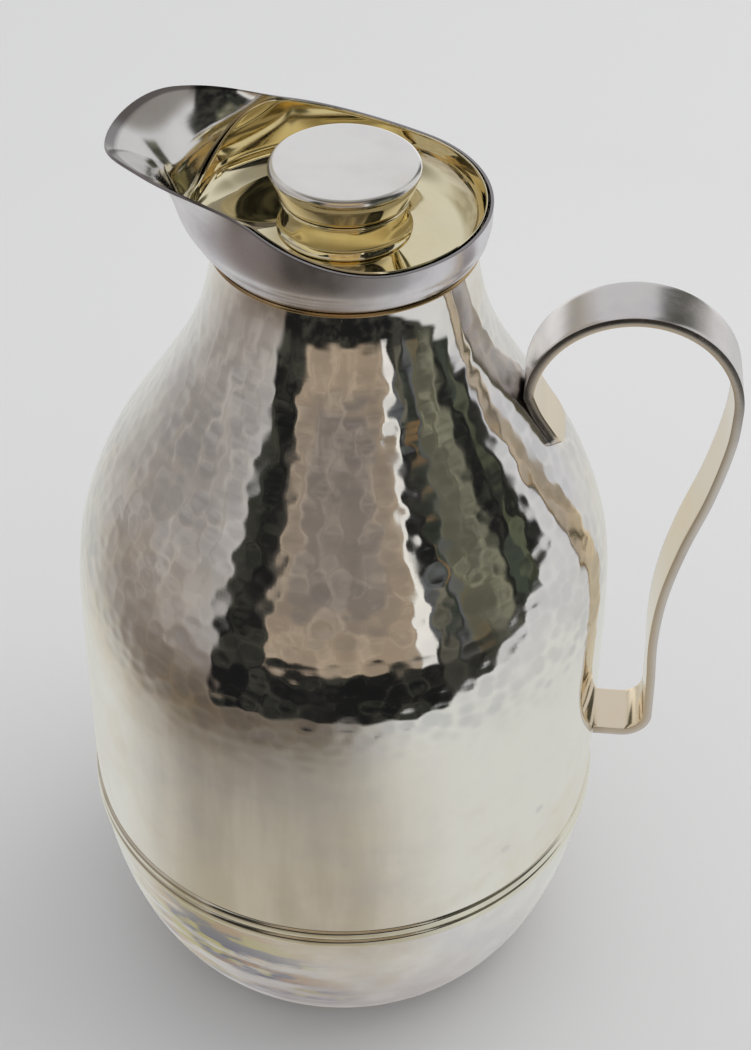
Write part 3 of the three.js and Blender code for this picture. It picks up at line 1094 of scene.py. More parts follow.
@dataclass
class PouringCollar:
    """The collar with its pouring lip, the gilt dish in it and the throat below."""

    foot_radius: float = 35.8
    foot_z: float = 257.4
    rim_radius: float = 38.5
    rim_z: float = 269.0
    lip_reach: float = 22.9
    lip_half_angle: float = 60.5
    lip_rise: float = 17.5
    rise_half_angle: float = 120.0
    lip_dip: float = 4.0
    dip_half_angle: float = 25.0
    bowl_power: float = 4.5
    lip_fill: float = 0.25
    fill_power: float = 7.0
    flare_power: float = 4.2
    sheet: float = 0.8
    floor_z: float = 260.4
    floor_edge_z: float = 259.5
    mouth_radius: float = 17.1
    around: int = 240

    @staticmethod
    def wave(from_lip: np.ndarray, half_angle: float) -> np.ndarray:
        """1 at the middle of the lip, falling to 0.

        Args:
            from_lip: angle from the middle of the lip, in radians.
            half_angle: where it reaches 0, in degrees.

        Returns:
            The share at each angle.
        """
        share = np.clip(from_lip / math.radians(half_angle), 0, 1)
        return np.cos(share * math.pi / 2) ** 2

    def rim_height(self, from_lip: np.ndarray) -> np.ndarray:
        """Height of the rim, in millimetres, at an angle from the lip."""
        rise = self.lip_rise * self.wave(from_lip, self.rise_half_angle)
        return self.rim_z + rise - self.lip_dip * self.wave(from_lip, self.dip_half_angle)

    def radius(self, from_lip: np.ndarray, z: np.ndarray) -> np.ndarray:
        """Outer radius of the wall, in millimetres, at an angle from the lip and a height."""
        lip = self.wave(from_lip, self.lip_half_angle)
        climb = np.clip((z - self.foot_z) / (self.rim_height(from_lip) - self.foot_z), 0, 1)
        bowl = (self.rim_radius - self.foot_radius) * (1 - (1 - climb) ** self.bowl_power)
        filled = self.lip_fill * (1 - (1 - climb) ** self.fill_power)
        flared = (1 - self.lip_fill) * climb**self.flare_power
        return self.foot_radius + bowl + self.lip_reach * lip * (filled + flared)

    def edge_height(self, from_lip: np.ndarray) -> np.ndarray:
        """Height of the gilding's edge: at the rim behind, near the floor at the lip."""
        share = np.clip((from_lip - math.radians(10)) / math.radians(50), 0, 1)
        share = 0.25 + 0.73 * share * share * (3 - 2 * share)
        return self.foot_z + (self.rim_height(from_lip) - self.foot_z) * share

    @staticmethod
    def from_lip(points: np.ndarray) -> np.ndarray:
        """Angle of each point from the middle of the lip, in radians."""
        return np.abs(np.arctan2(points[:, 1], -points[:, 0]))

    def build_collar(self) -> None:
        """Make the collar as one sheet and give it its thickness."""
        rows = 56
        start = 50.0
        crease_z, crease_width, crease_depth = 261.6, 1.1, 0.22
        outline = [(start, float(i)) for i in range(rows + 1)]
        sheet = turn("flared_collar", outline, self.around, closed=False)

        def flare(points: np.ndarray) -> np.ndarray:
            """Place each row of the sheet on the collar's wall."""
            from_lip = self.from_lip(points)
            top = self.rim_height(from_lip)
            z = self.foot_z + (top - self.foot_z) * (1 - np.cos(np.pi * points[:, 2] / rows)) / 2
            radius = self.radius(from_lip, z)
            crease = crease_depth * np.exp(-(((z - crease_z) / crease_width) ** 2))
            scale = (radius - crease) / start
            return np.stack([points[:, 0] * scale, points[:, 1] * scale, z], axis=1)

        reshape(sheet, flare)
        settings = {"thickness": self.sheet * MM, "offset": -1.0, "use_even_offset": True}
        apply_modifier(sheet, "SOLIDIFY", settings)
        soften_edges(sheet, 0.35, 50.0)
        points = points_of(sheet)
        from_lip = self.from_lip(points)
        inward = self.radius(from_lip, points[:, 2]) - np.hypot(points[:, 0], points[:, 1])
        inside = np.clip((inward - 0.2) / 0.4, 0, 1)
        rim = np.clip(1.2 - (self.rim_height(from_lip) - points[:, 2]) / 0.3, 0, 1)
        store(sheet, INSIDE, inside)
        store(sheet, RIM, rim)
        dress(sheet, COLLAR_SILVER, Body.JUG, "pouring_collar")

    def build_dish(self) -> None:
        """Make the gilt dish: a floor, a fillet, a wall and a rolled lip."""
        floor_rows, fillet_rows, wall_rows, lip_rows = 8, 14, 18, 8
        starts = np.cumsum([0, floor_rows, fillet_rows, wall_rows, lip_rows])
        outline = [(20.0, float(i)) for i in range(int(starts[-1]) + 1)]
        sheet = turn("gilt_dish", outline, self.around, closed=False)
        inset = self.sheet + 1.25
        fillet_width, tallest_fillet = 11.0, 6.4
        bead = 0.7

        def shape(points: np.ndarray) -> np.ndarray:
            """Place each row on the dish's floor, fillet, wall or rolled lip."""
            row = points[:, 2]
            angle = np.arctan2(points[:, 1], points[:, 0])
            from_lip = self.from_lip(points)
            floor, fillet, wall, lip = (
                np.clip((row - starts[i]) / (starts[i + 1] - starts[i]), 0, 1) for i in range(4)
            )
            base = self.floor_edge_z
            top = self.edge_height(from_lip)
            fillet_height = np.minimum(tallest_fillet, 0.7 * (top - base))
            spring = base + fillet_height
            edge = self.radius(from_lip, spring) - inset
            start = self.mouth_radius + 0.15
            radius = start + (edge - fillet_width - start) * floor
            radius = radius + fillet_width * np.sin(fillet * np.pi / 2)
            z = self.floor_z + (base - self.floor_z) * (1 - (1 - floor) ** 2.2)
            z = z + fillet_height * (1 - np.cos(fillet * np.pi / 2)) + (top - spring) * wall
            radius = np.where(wall > 0, self.radius(from_lip, z) - inset, radius)
            roll = lip * np.pi * 1.25
            radius = radius + 0.45 * bead * (1 - np.cos(roll))
            z = z + bead * np.sin(roll)
            return np.stack([radius * np.cos(angle), radius * np.sin(angle), z], axis=1)

        reshape(sheet, shape)
        apply_modifier(sheet, "SOLIDIFY", {"thickness": 0.45 * MM, "offset": 1.0})
        dress(sheet, GILT, Body.JUG, "pouring_dish")

    def build(self) -> None:
        """Make the collar, its foot wire, the dish, the throat and its gasket."""
        self.build_collar()
        self.build_dish()
        wire = Span.of("collar_foot_ring")
        inner = 34.2
        section = arc((wire.radius - wire.half, wire.middle), wire.half, -90, 90, 8)
        section = [(inner, wire.bottom), *section, (inner, wire.top)]
        turn_dressed("foot_wire", section, 200, THREAD_BRASS, Body.JUG, "collar_foot_ring")
        tube = Span.of("neck_tube")
        section = hoop(self.mouth_radius, tube.radius, tube.bottom, tube.top)
        turn_dressed("gilt_throat", section, 96, GILT, Body.JUG, "neck_tube", 0.25)
        seat = Span.of("neck_gasket")
        ribs = [
            (self.mouth_radius, seat.bottom),
            (seat.radius, seat.bottom),
            (seat.radius, seat.middle - 0.4),
            (seat.radius - 0.5, seat.middle),
            (seat.radius, seat.middle + 0.4),
            (seat.radius, seat.top),
            (self.mouth_radius, seat.top),
        ]
        turn_dressed("throat_gasket", ribs, 96, WHITE_RUBBER, Body.JUG, "neck_gasket", 0.3)


# ---- the strap handle -------------------------------------------------------------------------


@dataclass
class StrapHandle:
    """A flat strap bent into an open loop and soldered to the body at both ends."""

    thickness: float = 2.7
    loop_centre: Point = (79.5, 212.6)
    loop_radius: float = 28.5
    back: list[Point] = field(
        default_factory=lambda: [
            (108.0, 212.6),
            (107.5, 201.0),
            (104.0, 182.0),
            (98.6, 162.0),
            (95.0, 143.0),
            (94.0, 125.0),
            (94.9, 108.0),
            (95.4, 93.0),
        ]
    )
    shoulder_end: list[Point] = field(
        default_factory=lambda: [(61.0, 196.6), (58.6, 200.4), (53.9, 207.8), (51.1, 214.0)]
    )
    corner_radius: float = 8.0
    columns: int = 10
    foot_end: float = 79.2

    def centre_line(self) -> Outline:
        """The strap's centre line, from the shoulder round the loop to the foot."""
        start = smooth_line(self.shoulder_end, 30)
        loop = arc(self.loop_centre, self.loop_radius, 177.2, 0.0, 44)
        back = smooth_line(self.back, 60)
        bend = self.back[-1]
        corner = arc((bend[0] - self.corner_radius, bend[1]), self.corner_radius, 0.0, -90.0, 12)
        foot = [(self.foot_end + 4.0, corner[-1][1]), (self.foot_end, corner[-1][1])]
        return [*start, *loop[1:], *back[1:], *corner[1:], *foot]

    def inner_side(self, piece: bpy.types.Object) -> np.ndarray:
        """Which points lie on the strap's face towards the body.

        Args:
            piece: the finished strap.

        Returns:
            1 for each point on that face and 0 elsewhere.
        """
        points = points_of(piece)[:, [0, 2]]
        line = np.array(self.centre_line())
        middles = (line[1:] + line[:-1]) / 2
        ways = np.diff(line, axis=0)
        nearest = np.argmin(((points[:, None] - middles[None]) ** 2).sum(axis=2), axis=1)
        away, way = points - middles[nearest], ways[nearest]
        side = (way[:, 0] * away[:, 1] - way[:, 1] * away[:, 0]) / np.hypot(way[:, 0], way[:, 1])
        return np.clip(-side / self.thickness * 4 - 1, 0, 1)

    def build(self) -> None:
        """Extrude the strap along its centre line, round its upper end and dress it."""
        low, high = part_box("handle_strap")
        half = (high.y - low.y) / 2 / MM
        line = [Vector((x, 0.0, z)) * MM for x, z in self.centre_line()]
        piece = start_vertex(line[0] + Vector((0.0, -half * MM, 0.0)))
        for _ in range(self.columns):
            extrude_by(Vector((0.0, 2 * half * MM / self.columns, 0.0)))
        bpy.ops.mesh.select_all(action="SELECT")
        for before, after in zip(line, line[1:]):
            extrude_by(after - before)
        close_seams(outwards=False)
        settle(piece, "strap")
        end_x, end_z = self.shoulder_end[0]

        def round_tongue(points: np.ndarray) -> np.ndarray:
            """Round off the strap's upper end."""
            along = np.hypot(points[:, 0] - end_x, points[:, 2] - end_z)
            share = np.clip(1 - along / (half * 0.6), 0, 1)
            points[:, 1] *= np.maximum(1 - share**3, 0.02) ** (1 / 3)
            return points

        reshape(piece, round_tongue)
        settings = {"thickness": self.thickness * MM, "offset": 0.0, "use_even_offset": True}
        apply_modifier(piece, "SOLIDIFY", settings)
        activate(piece)
        bpy.ops.object.mode_set(mode="EDIT")
        close_seams()
        bpy.ops.object.mode_set(mode="OBJECT")
        soften_edges(piece, 0.5, 50.0)
        store(piece, INSIDE, self.inner_side(piece))
        dress(piece, HANDLE_SILVER, Body.JUG, "handle_strap")


# ---- the flask --------------------------------------------------------------------------------


@dataclass
class Flask:
    """The double-walled glass flask and the pieces that hold it."""

    glass: float = 1.6
    vacuum: float = 2.9
    neck_radius: float = 22.0
    bore_radius: float = 17.6
    bottom_rise: float = 34.0
    lip: float = 2.0

    def bulb_line(self, shrink: float, neck_radius: float, top: float) -> Outline:
        """Half section of a bulb, from the bottom of its axis to its lip.

        Args:
            shrink: distance inside the outer surface, in millimetres.
            neck_radius: radius of the neck.
            top: height of the lip.

        Returns:
            Radius and height of each point.
        """
        span = Span.of("flask_outer_bulb")
        radius = span.radius - shrink
        rise = self.bottom_rise - shrink
        side = span.bottom + self.bottom_rise
        line = []
        steps = 24
        for i in range(steps + 1):
            angle = math.radians(90 * i / steps)
            line.append((radius * math.sin(angle), side - rise * math.cos(angle)))
        line[0] = (0.0, line[0][1])
        knots = [
            (radius, 150.0),
            (radius, 168.0),
            (radius * 0.94, 187.0),
            (radius * 0.78, 205.0 - shrink * 0.3),
            (neck_radius + 7.0, 221.0 - shrink * 0.6),
            (neck_radius, 232.0 - shrink * 0.5),
            (neck_radius, top),
        ]
        return [*line, *smooth_line(knots, 48)]

    def build(self) -> None:
        """Make the bulbs, the spacers and the supports."""
        around = 128
        inner = Span.of("flask_inner_bulb")
        outer_top = inner.top - self.lip - 0.3
        outside = self.bulb_line(0.0, self.neck_radius, outer_top)
        inside = self.bulb_line(self.glass, self.neck_radius - self.glass, outer_top)
        section = [*outside, *reversed(inside)]
        turn_dressed("outer_glass", section, around, GLASS, Body.FLASK, "flask_outer_bulb")

        shrink = self.glass + self.vacuum
        wall = self.bulb_line(shrink, self.bore_radius + self.glass, inner.top - self.lip)
        half = self.lip / 2
        roll = arc((self.neck_radius - half, inner.top - half), half, -90, 90, 8)
        hollow = self.bulb_line(shrink + self.glass, self.bore_radius, inner.top)
        section = [*wall, *roll, *reversed(hollow)]
        turn_dressed("inner_glass", section, around, GLASS, Body.FLASK, "flask_inner_bulb")

        for number in range(1, 4):
            self.build_spacer(number)
        cap = Span.of("flask_tip_cap")
        section = [
            (3.5, cap.bottom),
            (cap.radius - 1.2, cap.bottom),
            (cap.radius, cap.bottom + 1.2),
            (cap.radius, cap.top),
            (4.5, cap.top),
            (4.5, 25.0),
            (3.5, 25.0),
        ]
        look = (WHITE_RUBBER, Body.FLASK, "flask_tip_cap")
        turn_dressed("tip_cap", section, 48, *look, 0.4)
        seat = Span.of("flask_cushion")
        section = [
            (34.0, seat.bottom),
            (39.0, seat.bottom),
            (39.5, seat.bottom + 1.0),
            (40.5, seat.bottom + 1.0),
            (41.0, seat.bottom),
            (seat.radius, seat.bottom),
            (seat.radius, seat.top),
            (34.0, 35.7),
        ]
        look = (WHITE_RUBBER, Body.FLASK, "flask_cushion")
        turn_dressed("cushion_ring", section, around, *look, 0.4)
        foot = Span.of("flask_stand")
        section = [
            (30.0, foot.bottom),
            (foot.radius, foot.bottom),
            (foot.radius, 5.8),
            (46.6, 8.0),
            (46.6, foot.top),
            (32.5, foot.top),
            (32.5, 28.0),
            (44.6, 28.0),
            (44.6, 5.8),
            (30.0, 5.8),
        ]
        look = (BLACK_PLASTIC, Body.FLASK, "flask_stand")
        turn_dressed("moulded_stand", section, around, *look, 0.4)

    @staticmethod
    def build_spacer(number: int) -> None:
        """Make one pad between the bulbs, numbered from 1."""
        node = f"flask_spacer_pad_{number}"
        low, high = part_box(node)
        turned_by = 2 * math.pi * (number - 1) / 3
        deselect_everything()
        bpy.ops.mesh.primitive_cylinder_add(
            vertices=48,
            radius=(high.z - low.z) / 2,
            depth=1.6 * MM,
            location=(low + high) / 2,
            rotation=(0.0, math.pi / 2, turned_by),
        )
        piece = bpy.context.object
        bpy.ops.object.mode_set(mode="EDIT")
        settle(piece, f"spacer_pad_{number}")
        soften_edges(piece, 0.4)
        dress(piece, WHITE_RUBBER, Body.FLASK, node)


# ---- the bottom cup ---------------------------------------------------------------------------


@dataclass
class BottomCup:
    """The cup that unscrews, with its bead, its thread and its felt."""

    foot_radius: float = 57.9
    foot_z: float = 0.8
    rim_radius: float = 79.4
    roundness: float = 1.66
    sheet: float = 1.2

    def wall(self, steps: int) -> Outline:
        """Outer wall, a quarter of a superellipse from the foot to the joint.

        Args:
            steps: how many steps it is cut into.

        Returns:
            Radius and height of each point.
        """
        top = Span.of("base_cup").top
        power = 2 / self.roundness
        line = []
        for i in range(steps + 1):
            angle = math.pi / 2 * i / steps
            spread = (self.rim_radius - self.foot_radius) * math.sin(angle) ** power
            height = (1 - max(math.cos(angle), 0.0) ** power) * (top - self.foot_z)
            line.append((self.foot_radius + spread, self.foot_z + height))
        return line

    def build(self) -> None:
        """Make the cup, its bead, its thread and its felt."""
        pad = Span.of("base_pad")
        floor = pad.top + 0.3
        outside = self.wall(64)
        inside = offset_line(self.wall(24), self.sheet)
        inside[0] = (self.foot_radius - self.sheet, floor + self.sheet)
        inside[-1] = (inside[-1][0], outside[-1][1])
        recess_radius = pad.radius + 1.0
        recess = [(0.0, floor), (recess_radius, floor), (recess_radius, self.foot_z)]
        section = [*recess, *outside, *reversed(inside), (0.0, floor + self.sheet)]
        turn_dressed("spun_cup", section, 256, CUP_SILVER, Body.BASE, "base_cup")
        bead = round_bead("lower_bead", "cup_bead", self.rim_radius - 0.3)
        dress(bead, BEAD_SILVER, Body.BASE, "cup_bead")
        ring = Span.of("cup_thread_ring")
        inner, crest = 71.8, 73.6
        face = [(crest, ring.bottom + 2.6), (crest, ring.top)]
        back = [
            (inner, ring.top),
            (inner, ring.bottom),
            (ring.radius, ring.bottom),
            (ring.radius, ring.bottom + 2.0),
        ]
        thread = threaded_ring("cup_thread", face, back, False)
        dress(thread, THREAD_BRASS, Body.BASE, "cup_thread_ring")
        section = hoop(0.0, pad.radius, 0.0, pad.top)
        turn_dressed("felt_disc", section, 160, FELT, Body.BASE, "base_pad", 0.5)


# ---- the stopper ------------------------------------------------------------------------------


@dataclass
class Stopper:
    """The lift-out stopper: a silver disc on a gilt grip and neck, with a sealed plug below."""

    core_radius: float = 14.2
    around: int = 160

    def turned(
        self, name: str, section: Outline, finish: Finish, node: str, edge: float = 0.2
    ) -> None:
        """Turn a piece that moves with the stopper, round its corners by edge and dress it."""
        turn_dressed(name, section, self.around, finish, Body.STOPPER, node, edge)

    def build_head(self) -> None:
        """Make the silver disc and the gilt pieces under it."""
        disc = Span.of("stopper_disc")
        edge, crown = 1.6, 0.18
        shares = (0.85, 0.65, 0.45, 0.25, 0.1, 0.0)
        section = [
            (0.0, disc.bottom),
            (disc.radius - 0.5, disc.bottom),
            (disc.radius, disc.bottom + 0.5),
            *arc((disc.radius - edge, disc.top - edge - crown), edge, 0, 90, 10),
            *((disc.radius * share, disc.top - crown * share**2) for share in shares),
        ]
        self.turned("silver_disc", section, SATIN_SILVER, "stopper_disc", 0.0)
        grip = Span.of("stopper_grip")
        knots = [(16.7, grip.bottom), (17.35, 271.0), (18.2, 272.8), (18.95, 275.0)]
        side = smooth_line([*knots, (grip.radius, grip.top)], 20)
        inner = [(self.core_radius, grip.top), (self.core_radius, grip.bottom)]
        self.turned("gilt_grip", [*side, *inner], GILT, "stopper_grip")
        bead = Span.of("stopper_bead")
        section = arc((bead.radius - bead.half, bead.middle), bead.half, -90, 90, 12)
        section = [(self.core_radius, bead.bottom), *section, (self.core_radius, bead.top)]
        self.turned("gilt_bead", section, GILT, "stopper_bead", 0.0)
        neck = Span.of("stopper_neck")
        low = neck.bottom
        knots = [
            (neck.radius, low + 0.3),
            (17.35, low + 0.9),
            (16.75, low + 1.9),
            (16.35, low + 3.6),
            (16.15, low + 5.6),
            (16.2, neck.top),
        ]
        side = smooth_line(knots, 24)
        section = [(self.core_radius, low), (neck.radius, low), *side, (self.core_radius, neck.top)]
        self.turned("gilt_neck", section, GILT, "stopper_neck")

    def build_plug(self) -> None:
        """Make the plug, its seal and its fixings."""
        plug = Span.of("stopper_plug")
        bore = 2.8
        groove = 12.9
        radius = plug.radius
        section = [
            (bore, plug.bottom),
            (radius - 1.2, plug.bottom),
            (radius, plug.bottom + 2.0),
            (radius, 244.5),
            (groove, 244.5),
            (groove, 249.5),
            (radius, 249.5),
            (radius, 259.6),
            (13.9, 259.6),
            (13.9, plug.top),
            (7.0, plug.top),
            (7.0, 269.0),
            (bore, 269.0),
        ]
        self.turned("moulded_plug", section, BLACK_PLASTIC, "stopper_plug", 0.35)
        seal = Span.of("stopper_seal_ring")
        section = [
            (13.4, seal.bottom),
            (15.6, seal.bottom),
            (seal.radius - 0.25, seal.middle - 0.9),
            (seal.radius, seal.middle),
            (seal.radius - 0.25, seal.middle + 0.9),
            (15.6, seal.top),
            (13.4, seal.top),
        ]
        finish, node = WHITE_RUBBER, "stopper_seal_ring"
        turn_dressed("seal_ring", section, self.around, finish, Body.SEAL, node, 0.3)
        washer = Span.of("stopper_washer")
        section = hoop(bore, washer.radius, washer.bottom, washer.top)
        self.turned("plain_washer", section, STEEL, "stopper_washer")
        self.build_fixings()

    def build_fixings(self) -> None:
        """Make the slotted screw and its hexagon nut."""
        screw = Span.of("stopper_screw")
        head = 4.6
        shank = 2.2
        shank_steps = 110
        head_top = screw.bottom + 2.4
        rise = screw.top - 1.0 - head_top
        side = [(shank, head_top + rise * i / shank_steps) for i in range(shank_steps + 1)]
        section = [
            (0.0, screw.bottom),
            (2.4, screw.bottom + 0.15),
            (3.8, screw.bottom + 0.7),
            (head, head_top - 0.9),
            (head, head_top),
            *side,
            (shank - 0.7, screw.top),
            (0.0, screw.top),
        ]
        piece = turn("slotted_screw", section, 48)
        pitch, height = 0.8, 0.3

        def cut_thread(points: np.ndarray) -> np.ndarray:
            """Cut the helix into the shank."""
            radius = np.hypot(points[:, 0], points[:, 1])
            on_shank = (points[:, 2] > head_top + 0.5) & (np.abs(radius - shank) < 0.05)
            depth = height * groove_share(points, pitch) * on_shank
            points[:, :2] *= (1 - depth / np.maximum(radius, 1e-6))[:, None]
            return points

        reshape(piece, cut_thread)
        deselect_everything()
        place, slot_size = (0.0, 0.0, screw.bottom * MM), (12.0, 1.1, 2.2)
        bpy.ops.mesh.primitive_cube_add(size=MM, location=place, scale=slot_size)
        carve(piece, bpy.context.object)
        dress(piece, STEEL, Body.STOPPER, "stopper_screw")
        nut = Span.of("stopper_nut")
        middle = (0.0, 0.0, nut.middle * MM)
        depth = (nut.top - nut.bottom) * MM
        low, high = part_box("stopper_nut")
        radius = max((high.x - low.x) / 2, nut.radius * MM)
        deselect_everything()
        bpy.ops.mesh.primitive_cylinder_add(vertices=6, radius=radius, depth=depth, location=middle)
        piece = bpy.context.object
        bpy.ops.object.mode_set(mode="EDIT")
        settle(piece, "hexagon_nut")
        soften_edges(piece, 0.3)
        deselect_everything()
        bpy.ops.mesh.primitive_cylinder_add(
            vertices=32, radius=2.5 * MM, depth=depth * 2, location=middle
        )
        carve(piece, bpy.context.object)
        dress(piece, STEEL, Body.STOPPER, "stopper_nut")

    def build(self) -> None:
        """Make every piece of the stopper."""
        self.build_head()
        self.build_plug()


# ---- studio -----------------------------------------------------------------------------------


@dataclass(frozen=True)
class Patch:
    """A soft-edged patch of the surround that the silver reflects, in degrees from the front.

    Its level climbs by rise for each degree of azimuth beyond corner.
    """

    azimuth: float
    half_width: float
    elevation: float
    half_height: float
    side_blur: float
    top_blur: float
    colour: Colour
    mottled: Colour
    corner: float = 180.0
    rise: float = 0.0

    def cover(self, shader: Shader, azimuth: Signal, elevation: Signal) -> Signal:
        """How much of the patch shows in a direction.

        Args:
            shader: the surround's node tree.
            azimuth: the direction's azimuth.
            elevation: its elevation.

        Returns:
            A share from 0 to 1.
        """
        level = elevation - self.elevation
        if self.rise:
            level = level - shader.math("MAXIMUM", azimuth - self.corner) * self.rise
        side, top = self.side_blur / 2, self.top_blur / 2
        away = (azimuth - self.azimuth).size()
        across = 1.0 - away.between(self.half_width - side, self.half_width + side)
        up = 1.0 - level.size().between(self.half_height - top, self.half_height + top)
        return across * up


def clutter(seed: int, count: int) -> list[Patch]:
    """Small dim shapes in the dark part of the room.

    Args:
        seed: fixes the shapes.
        count: how many there are.

    Returns:
        The patches.
    """
    chance = random.Random(seed)
    tints = (
        (0.10, 0.11, 0.07),
        (0.055, 0.065, 0.05),
        (0.19, 0.18, 0.14),
        (0.20, 0.13, 0.065),
        (0.12, 0.125, 0.13),
    )
    shapes = []
    for _ in range(count):
        tint = chance.choice(tints)
        deep = tuple(part * 0.45 for part in tint)
        azimuth, elevation = chance.uniform(44.0, 92.0), chance.uniform(-14.0, 34.0)
        size = (chance.uniform(1.2, 5.0), chance.uniform(3.0, 14.0))
        shapes.append(Patch(azimuth, size[0], elevation, size[1], 1.5, 3.0, tint, deep))
    return shapes


ROOM = (
    Patch(180.0, 40.0, 6.0, 13.0, 30.0, 14.0, (0.92, 0.92, 0.90), (1.0, 1.0, 0.98)),
    Patch(-180.0, 40.0, 6.0, 13.0, 30.0, 14.0, (0.92, 0.92, 0.90), (1.0, 1.0, 0.98)),
    Patch(-144.0, 16.0, 30.0, 18.0, 10.0, 12.0, (0.36, 0.34, 0.28), (0.48, 0.45, 0.39)),
    Patch(146.0, 8.0, 28.0, 20.0, 5.0, 8.0, (0.055, 0.055, 0.04), (0.15, 0.145, 0.11)),
    Patch(0.0, 108.0, 79.0, 14.0, 16.0, 6.0, (0.10, 0.09, 0.08), (0.20, 0.18, 0.16)),
    Patch(-82.0, 44.0, 10.0, 34.0, 56.0, 36.0, (0.31, 0.285, 0.27), (0.42, 0.39, 0.375)),
    Patch(-72.0, 32.0, 40.0, 12.0, 44.0, 22.0, (0.42, 0.395, 0.38), (0.53, 0.505, 0.48)),
    Patch(-62.0, 34.0, -26.0, 15.0, 44.0, 26.0, (0.22, 0.185, 0.165), (0.31, 0.27, 0.245)),
    Patch(-25.0, 60.0, -56.0, 11.0, 64.0, 24.0, (0.42, 0.375, 0.29), (0.49, 0.44, 0.36)),
    Patch(-30.0, 46.0, -34.0, 13.0, 50.0, 26.0, (0.14, 0.112, 0.085), (0.18, 0.15, 0.115)),
    Patch(27.0, 72.0, 11.0, 42.0, 4.0, 4.0, (0.012, 0.012, 0.012), (0.052, 0.052, 0.042), 36.0, 0.46),
    *clutter(5, 16),
    Patch(66.0, 10.0, 12.0, 20.0, 6.0, 12.0, (0.115, 0.112, 0.078), (0.25, 0.245, 0.175)),
    Patch(6.0, 30.0, 29.0, 36.0, 2.5, 3.0, (0.32, 0.252, 0.185), (0.45, 0.365, 0.27)),
    Patch(4.0, 24.0, 24.0, 16.0, 24.0, 22.0, (0.205, 0.175, 0.155), (0.31, 0.265, 0.23)),
    Patch(6.0, 28.6, 52.0, 13.0, 3.0, 16.0, (0.38, 0.275, 0.145), (0.52, 0.40, 0.235)),
    Patch(38.2, 2.6, 16.0, 24.0, 1.5, 3.0, (0.80, 0.78, 0.74), (0.85, 0.83, 0.79)),
    # Painted shadow: the jug's own shadow on the floor straight below, as the silver reflects it.
    Patch(0.0, 181.0, -90.0, 20.0, 2.0, 22.0, (0.46, 0.44, 0.44), (0.58, 0.56, 0.56)),
)


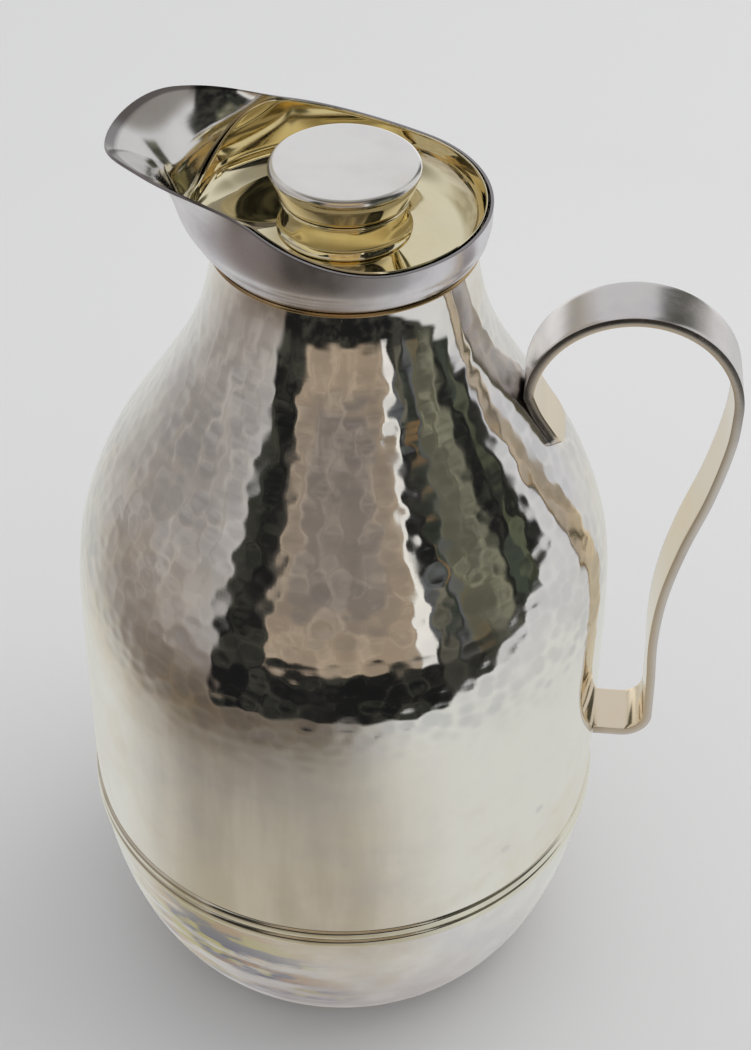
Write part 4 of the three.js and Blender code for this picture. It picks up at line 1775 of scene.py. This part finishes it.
@dataclass
class Studio:
    """The floor, the soft light, the reflected surround and the camera."""

    camera_place: Triple = (0.0458, -0.4406, 0.547)
    heading: float = -4.74
    pitch: float = 41.45
    roll: float = -0.89
    lens: float = 68.57
    floor_tint: Colour = (0.752, 0.753, 0.758)
    floor_size: float = 14.0
    floor_z: float = -0.0002
    surround_radius: float = 0.55
    surround_centre: Triple = (0.0, -0.03, 0.165)
    low_wall: Colour = (0.65, 0.655, 0.625)
    high_wall: Colour = (0.66, 0.66, 0.665)
    ceiling: Colour = (0.30, 0.285, 0.265)
    sky: Colour = (0.975, 0.98, 0.99)
    sky_strength: float = 0.75
    panel_place: Triple = (0.9, 0.5, 1.7)
    panel_aim: Triple = (0.0, 0.0, 0.1)
    panel_size: Point = (1.6, 1.2)
    panel_power: float = 10.5
    panel_tint: Colour = (1.0, 0.98, 0.95)

    def build_floor(self) -> None:
        """Lay a plain pale floor."""
        deselect_everything()
        bpy.ops.mesh.primitive_plane_add(size=self.floor_size, location=(0.0, 0.0, self.floor_z))
        floor = bpy.context.object
        floor.name = "studio_floor"
        shader = Shader("pale_floor")
        drift = shader.noise(shader.place(), 1.6, 2.0)
        tint = shader.mix(drift, self.floor_tint, tuple(0.98 * part for part in self.floor_tint))
        floor.data.materials.append(shader.finish({"Base Color": tint, "Roughness": 0.6}))
        floor.visible_glossy = False

    def build_surround(self) -> None:
        """Hang the soft patches that only reflections see."""
        deselect_everything()
        radius = self.surround_radius
        bpy.ops.mesh.primitive_uv_sphere_add(segments=96, ring_count=48, radius=radius)
        dome = bpy.context.object
        dome.name = "studio_surround"
        dome.location = self.surround_centre
        shader = Shader("surround")
        place = shader.here()
        x, y, z = (shader.node("ShaderNodeSeparateXYZ", {}, {0: place}, output=i) for i in range(3))
        to_degrees = 180.0 / math.pi
        azimuth = shader.math("ARCTAN2", x, y * -1.0) * to_degrees
        elevation = shader.math("ARCSINE", z * (1.0 / radius)) * to_degrees
        mottle = shader.noise(place, 9.0, 4.0, 0.65).between(0.42, 0.66)
        colour = shader.mix(elevation.between(-60.0, 30.0), self.low_wall, self.high_wall)
        colour = shader.mix(elevation.between(50.0, 64.0), colour, self.ceiling)
        for patch in ROOM:
            tint = shader.mix(mottle, patch.colour, patch.mottled)
            colour = shader.mix(patch.cover(shader, azimuth, elevation), colour, tint)
        glow = shader.node("ShaderNodeEmission", {}, {"Color": colour, "Strength": 1.0})
        shader.node("ShaderNodeOutputMaterial", {}, {"Surface": glow})
        dome.data.materials.append(shader.material)
        for ray in ("camera", "diffuse", "transmission", "volume_scatter", "shadow"):
            setattr(dome, f"visible_{ray}", False)

    def build_light(self) -> None:
        """Light the floor softly from the world and one large panel."""
        world = bpy.data.worlds.new("soft_world")
        world.use_nodes = True
        background = world.node_tree.nodes["Background"]
        background.inputs["Color"].default_value = (*self.sky, 1.0)
        background.inputs["Strength"].default_value = self.sky_strength
        bpy.context.scene.world = world
        deselect_everything()
        bpy.ops.object.light_add(type="AREA", location=self.panel_place)
        panel = bpy.context.object
        panel.name = "soft_panel"
        panel.data.shape = "RECTANGLE"
        panel.data.size, panel.data.size_y = self.panel_size
        panel.data.energy = self.panel_power
        panel.data.color = self.panel_tint
        panel.visible_glossy = False
        aim = Vector(self.panel_aim) - panel.location
        panel.rotation_euler = aim.to_track_quat("-Z", "Y").to_euler()

    def build_camera(self) -> None:
        """Place the camera."""
        turned, tilted, rolled = (math.radians(a) for a in (self.heading, self.pitch, self.roll))
        level = math.cos(tilted)
        forward = Vector((math.sin(turned) * level, math.cos(turned) * level, -math.sin(tilted)))
        right = Vector((math.cos(turned), -math.sin(turned), 0.0))
        down = forward.cross(right)
        across = right * math.cos(rolled) + down * math.sin(rolled)
        lower = down * math.cos(rolled) - right * math.sin(rolled)
        axes = Matrix((across, -lower, -forward)).transposed().to_4x4()
        deselect_everything()
        bpy.ops.object.camera_add(location=self.camera_place)
        camera = bpy.context.object
        camera.name = "studio_camera"
        camera.matrix_world = Matrix.Translation(self.camera_place) @ axes
        camera.data.lens = self.lens
        camera.data.sensor_width = 36.0
        camera.data.clip_start = 0.01
        bpy.context.scene.camera = camera

    def build(self) -> None:
        """Set everything up."""
        self.build_floor()
        self.build_surround()
        self.build_light()
        self.build_camera()
        bpy.context.scene.view_settings.view_transform = "Standard"


def main() -> None:
    """Build the jug, piece by piece, and then the studio."""
    logging.basicConfig(level=logging.INFO, format="%(name)s: %(message)s")
    for kind in (HammeredBody, PouringCollar, StrapHandle, Flask, BottomCup, Stopper, Studio):
        part = kind()
        part.build()
        log.info("%s is built", type(part).__name__)


if __name__ == "__main__":
    main()
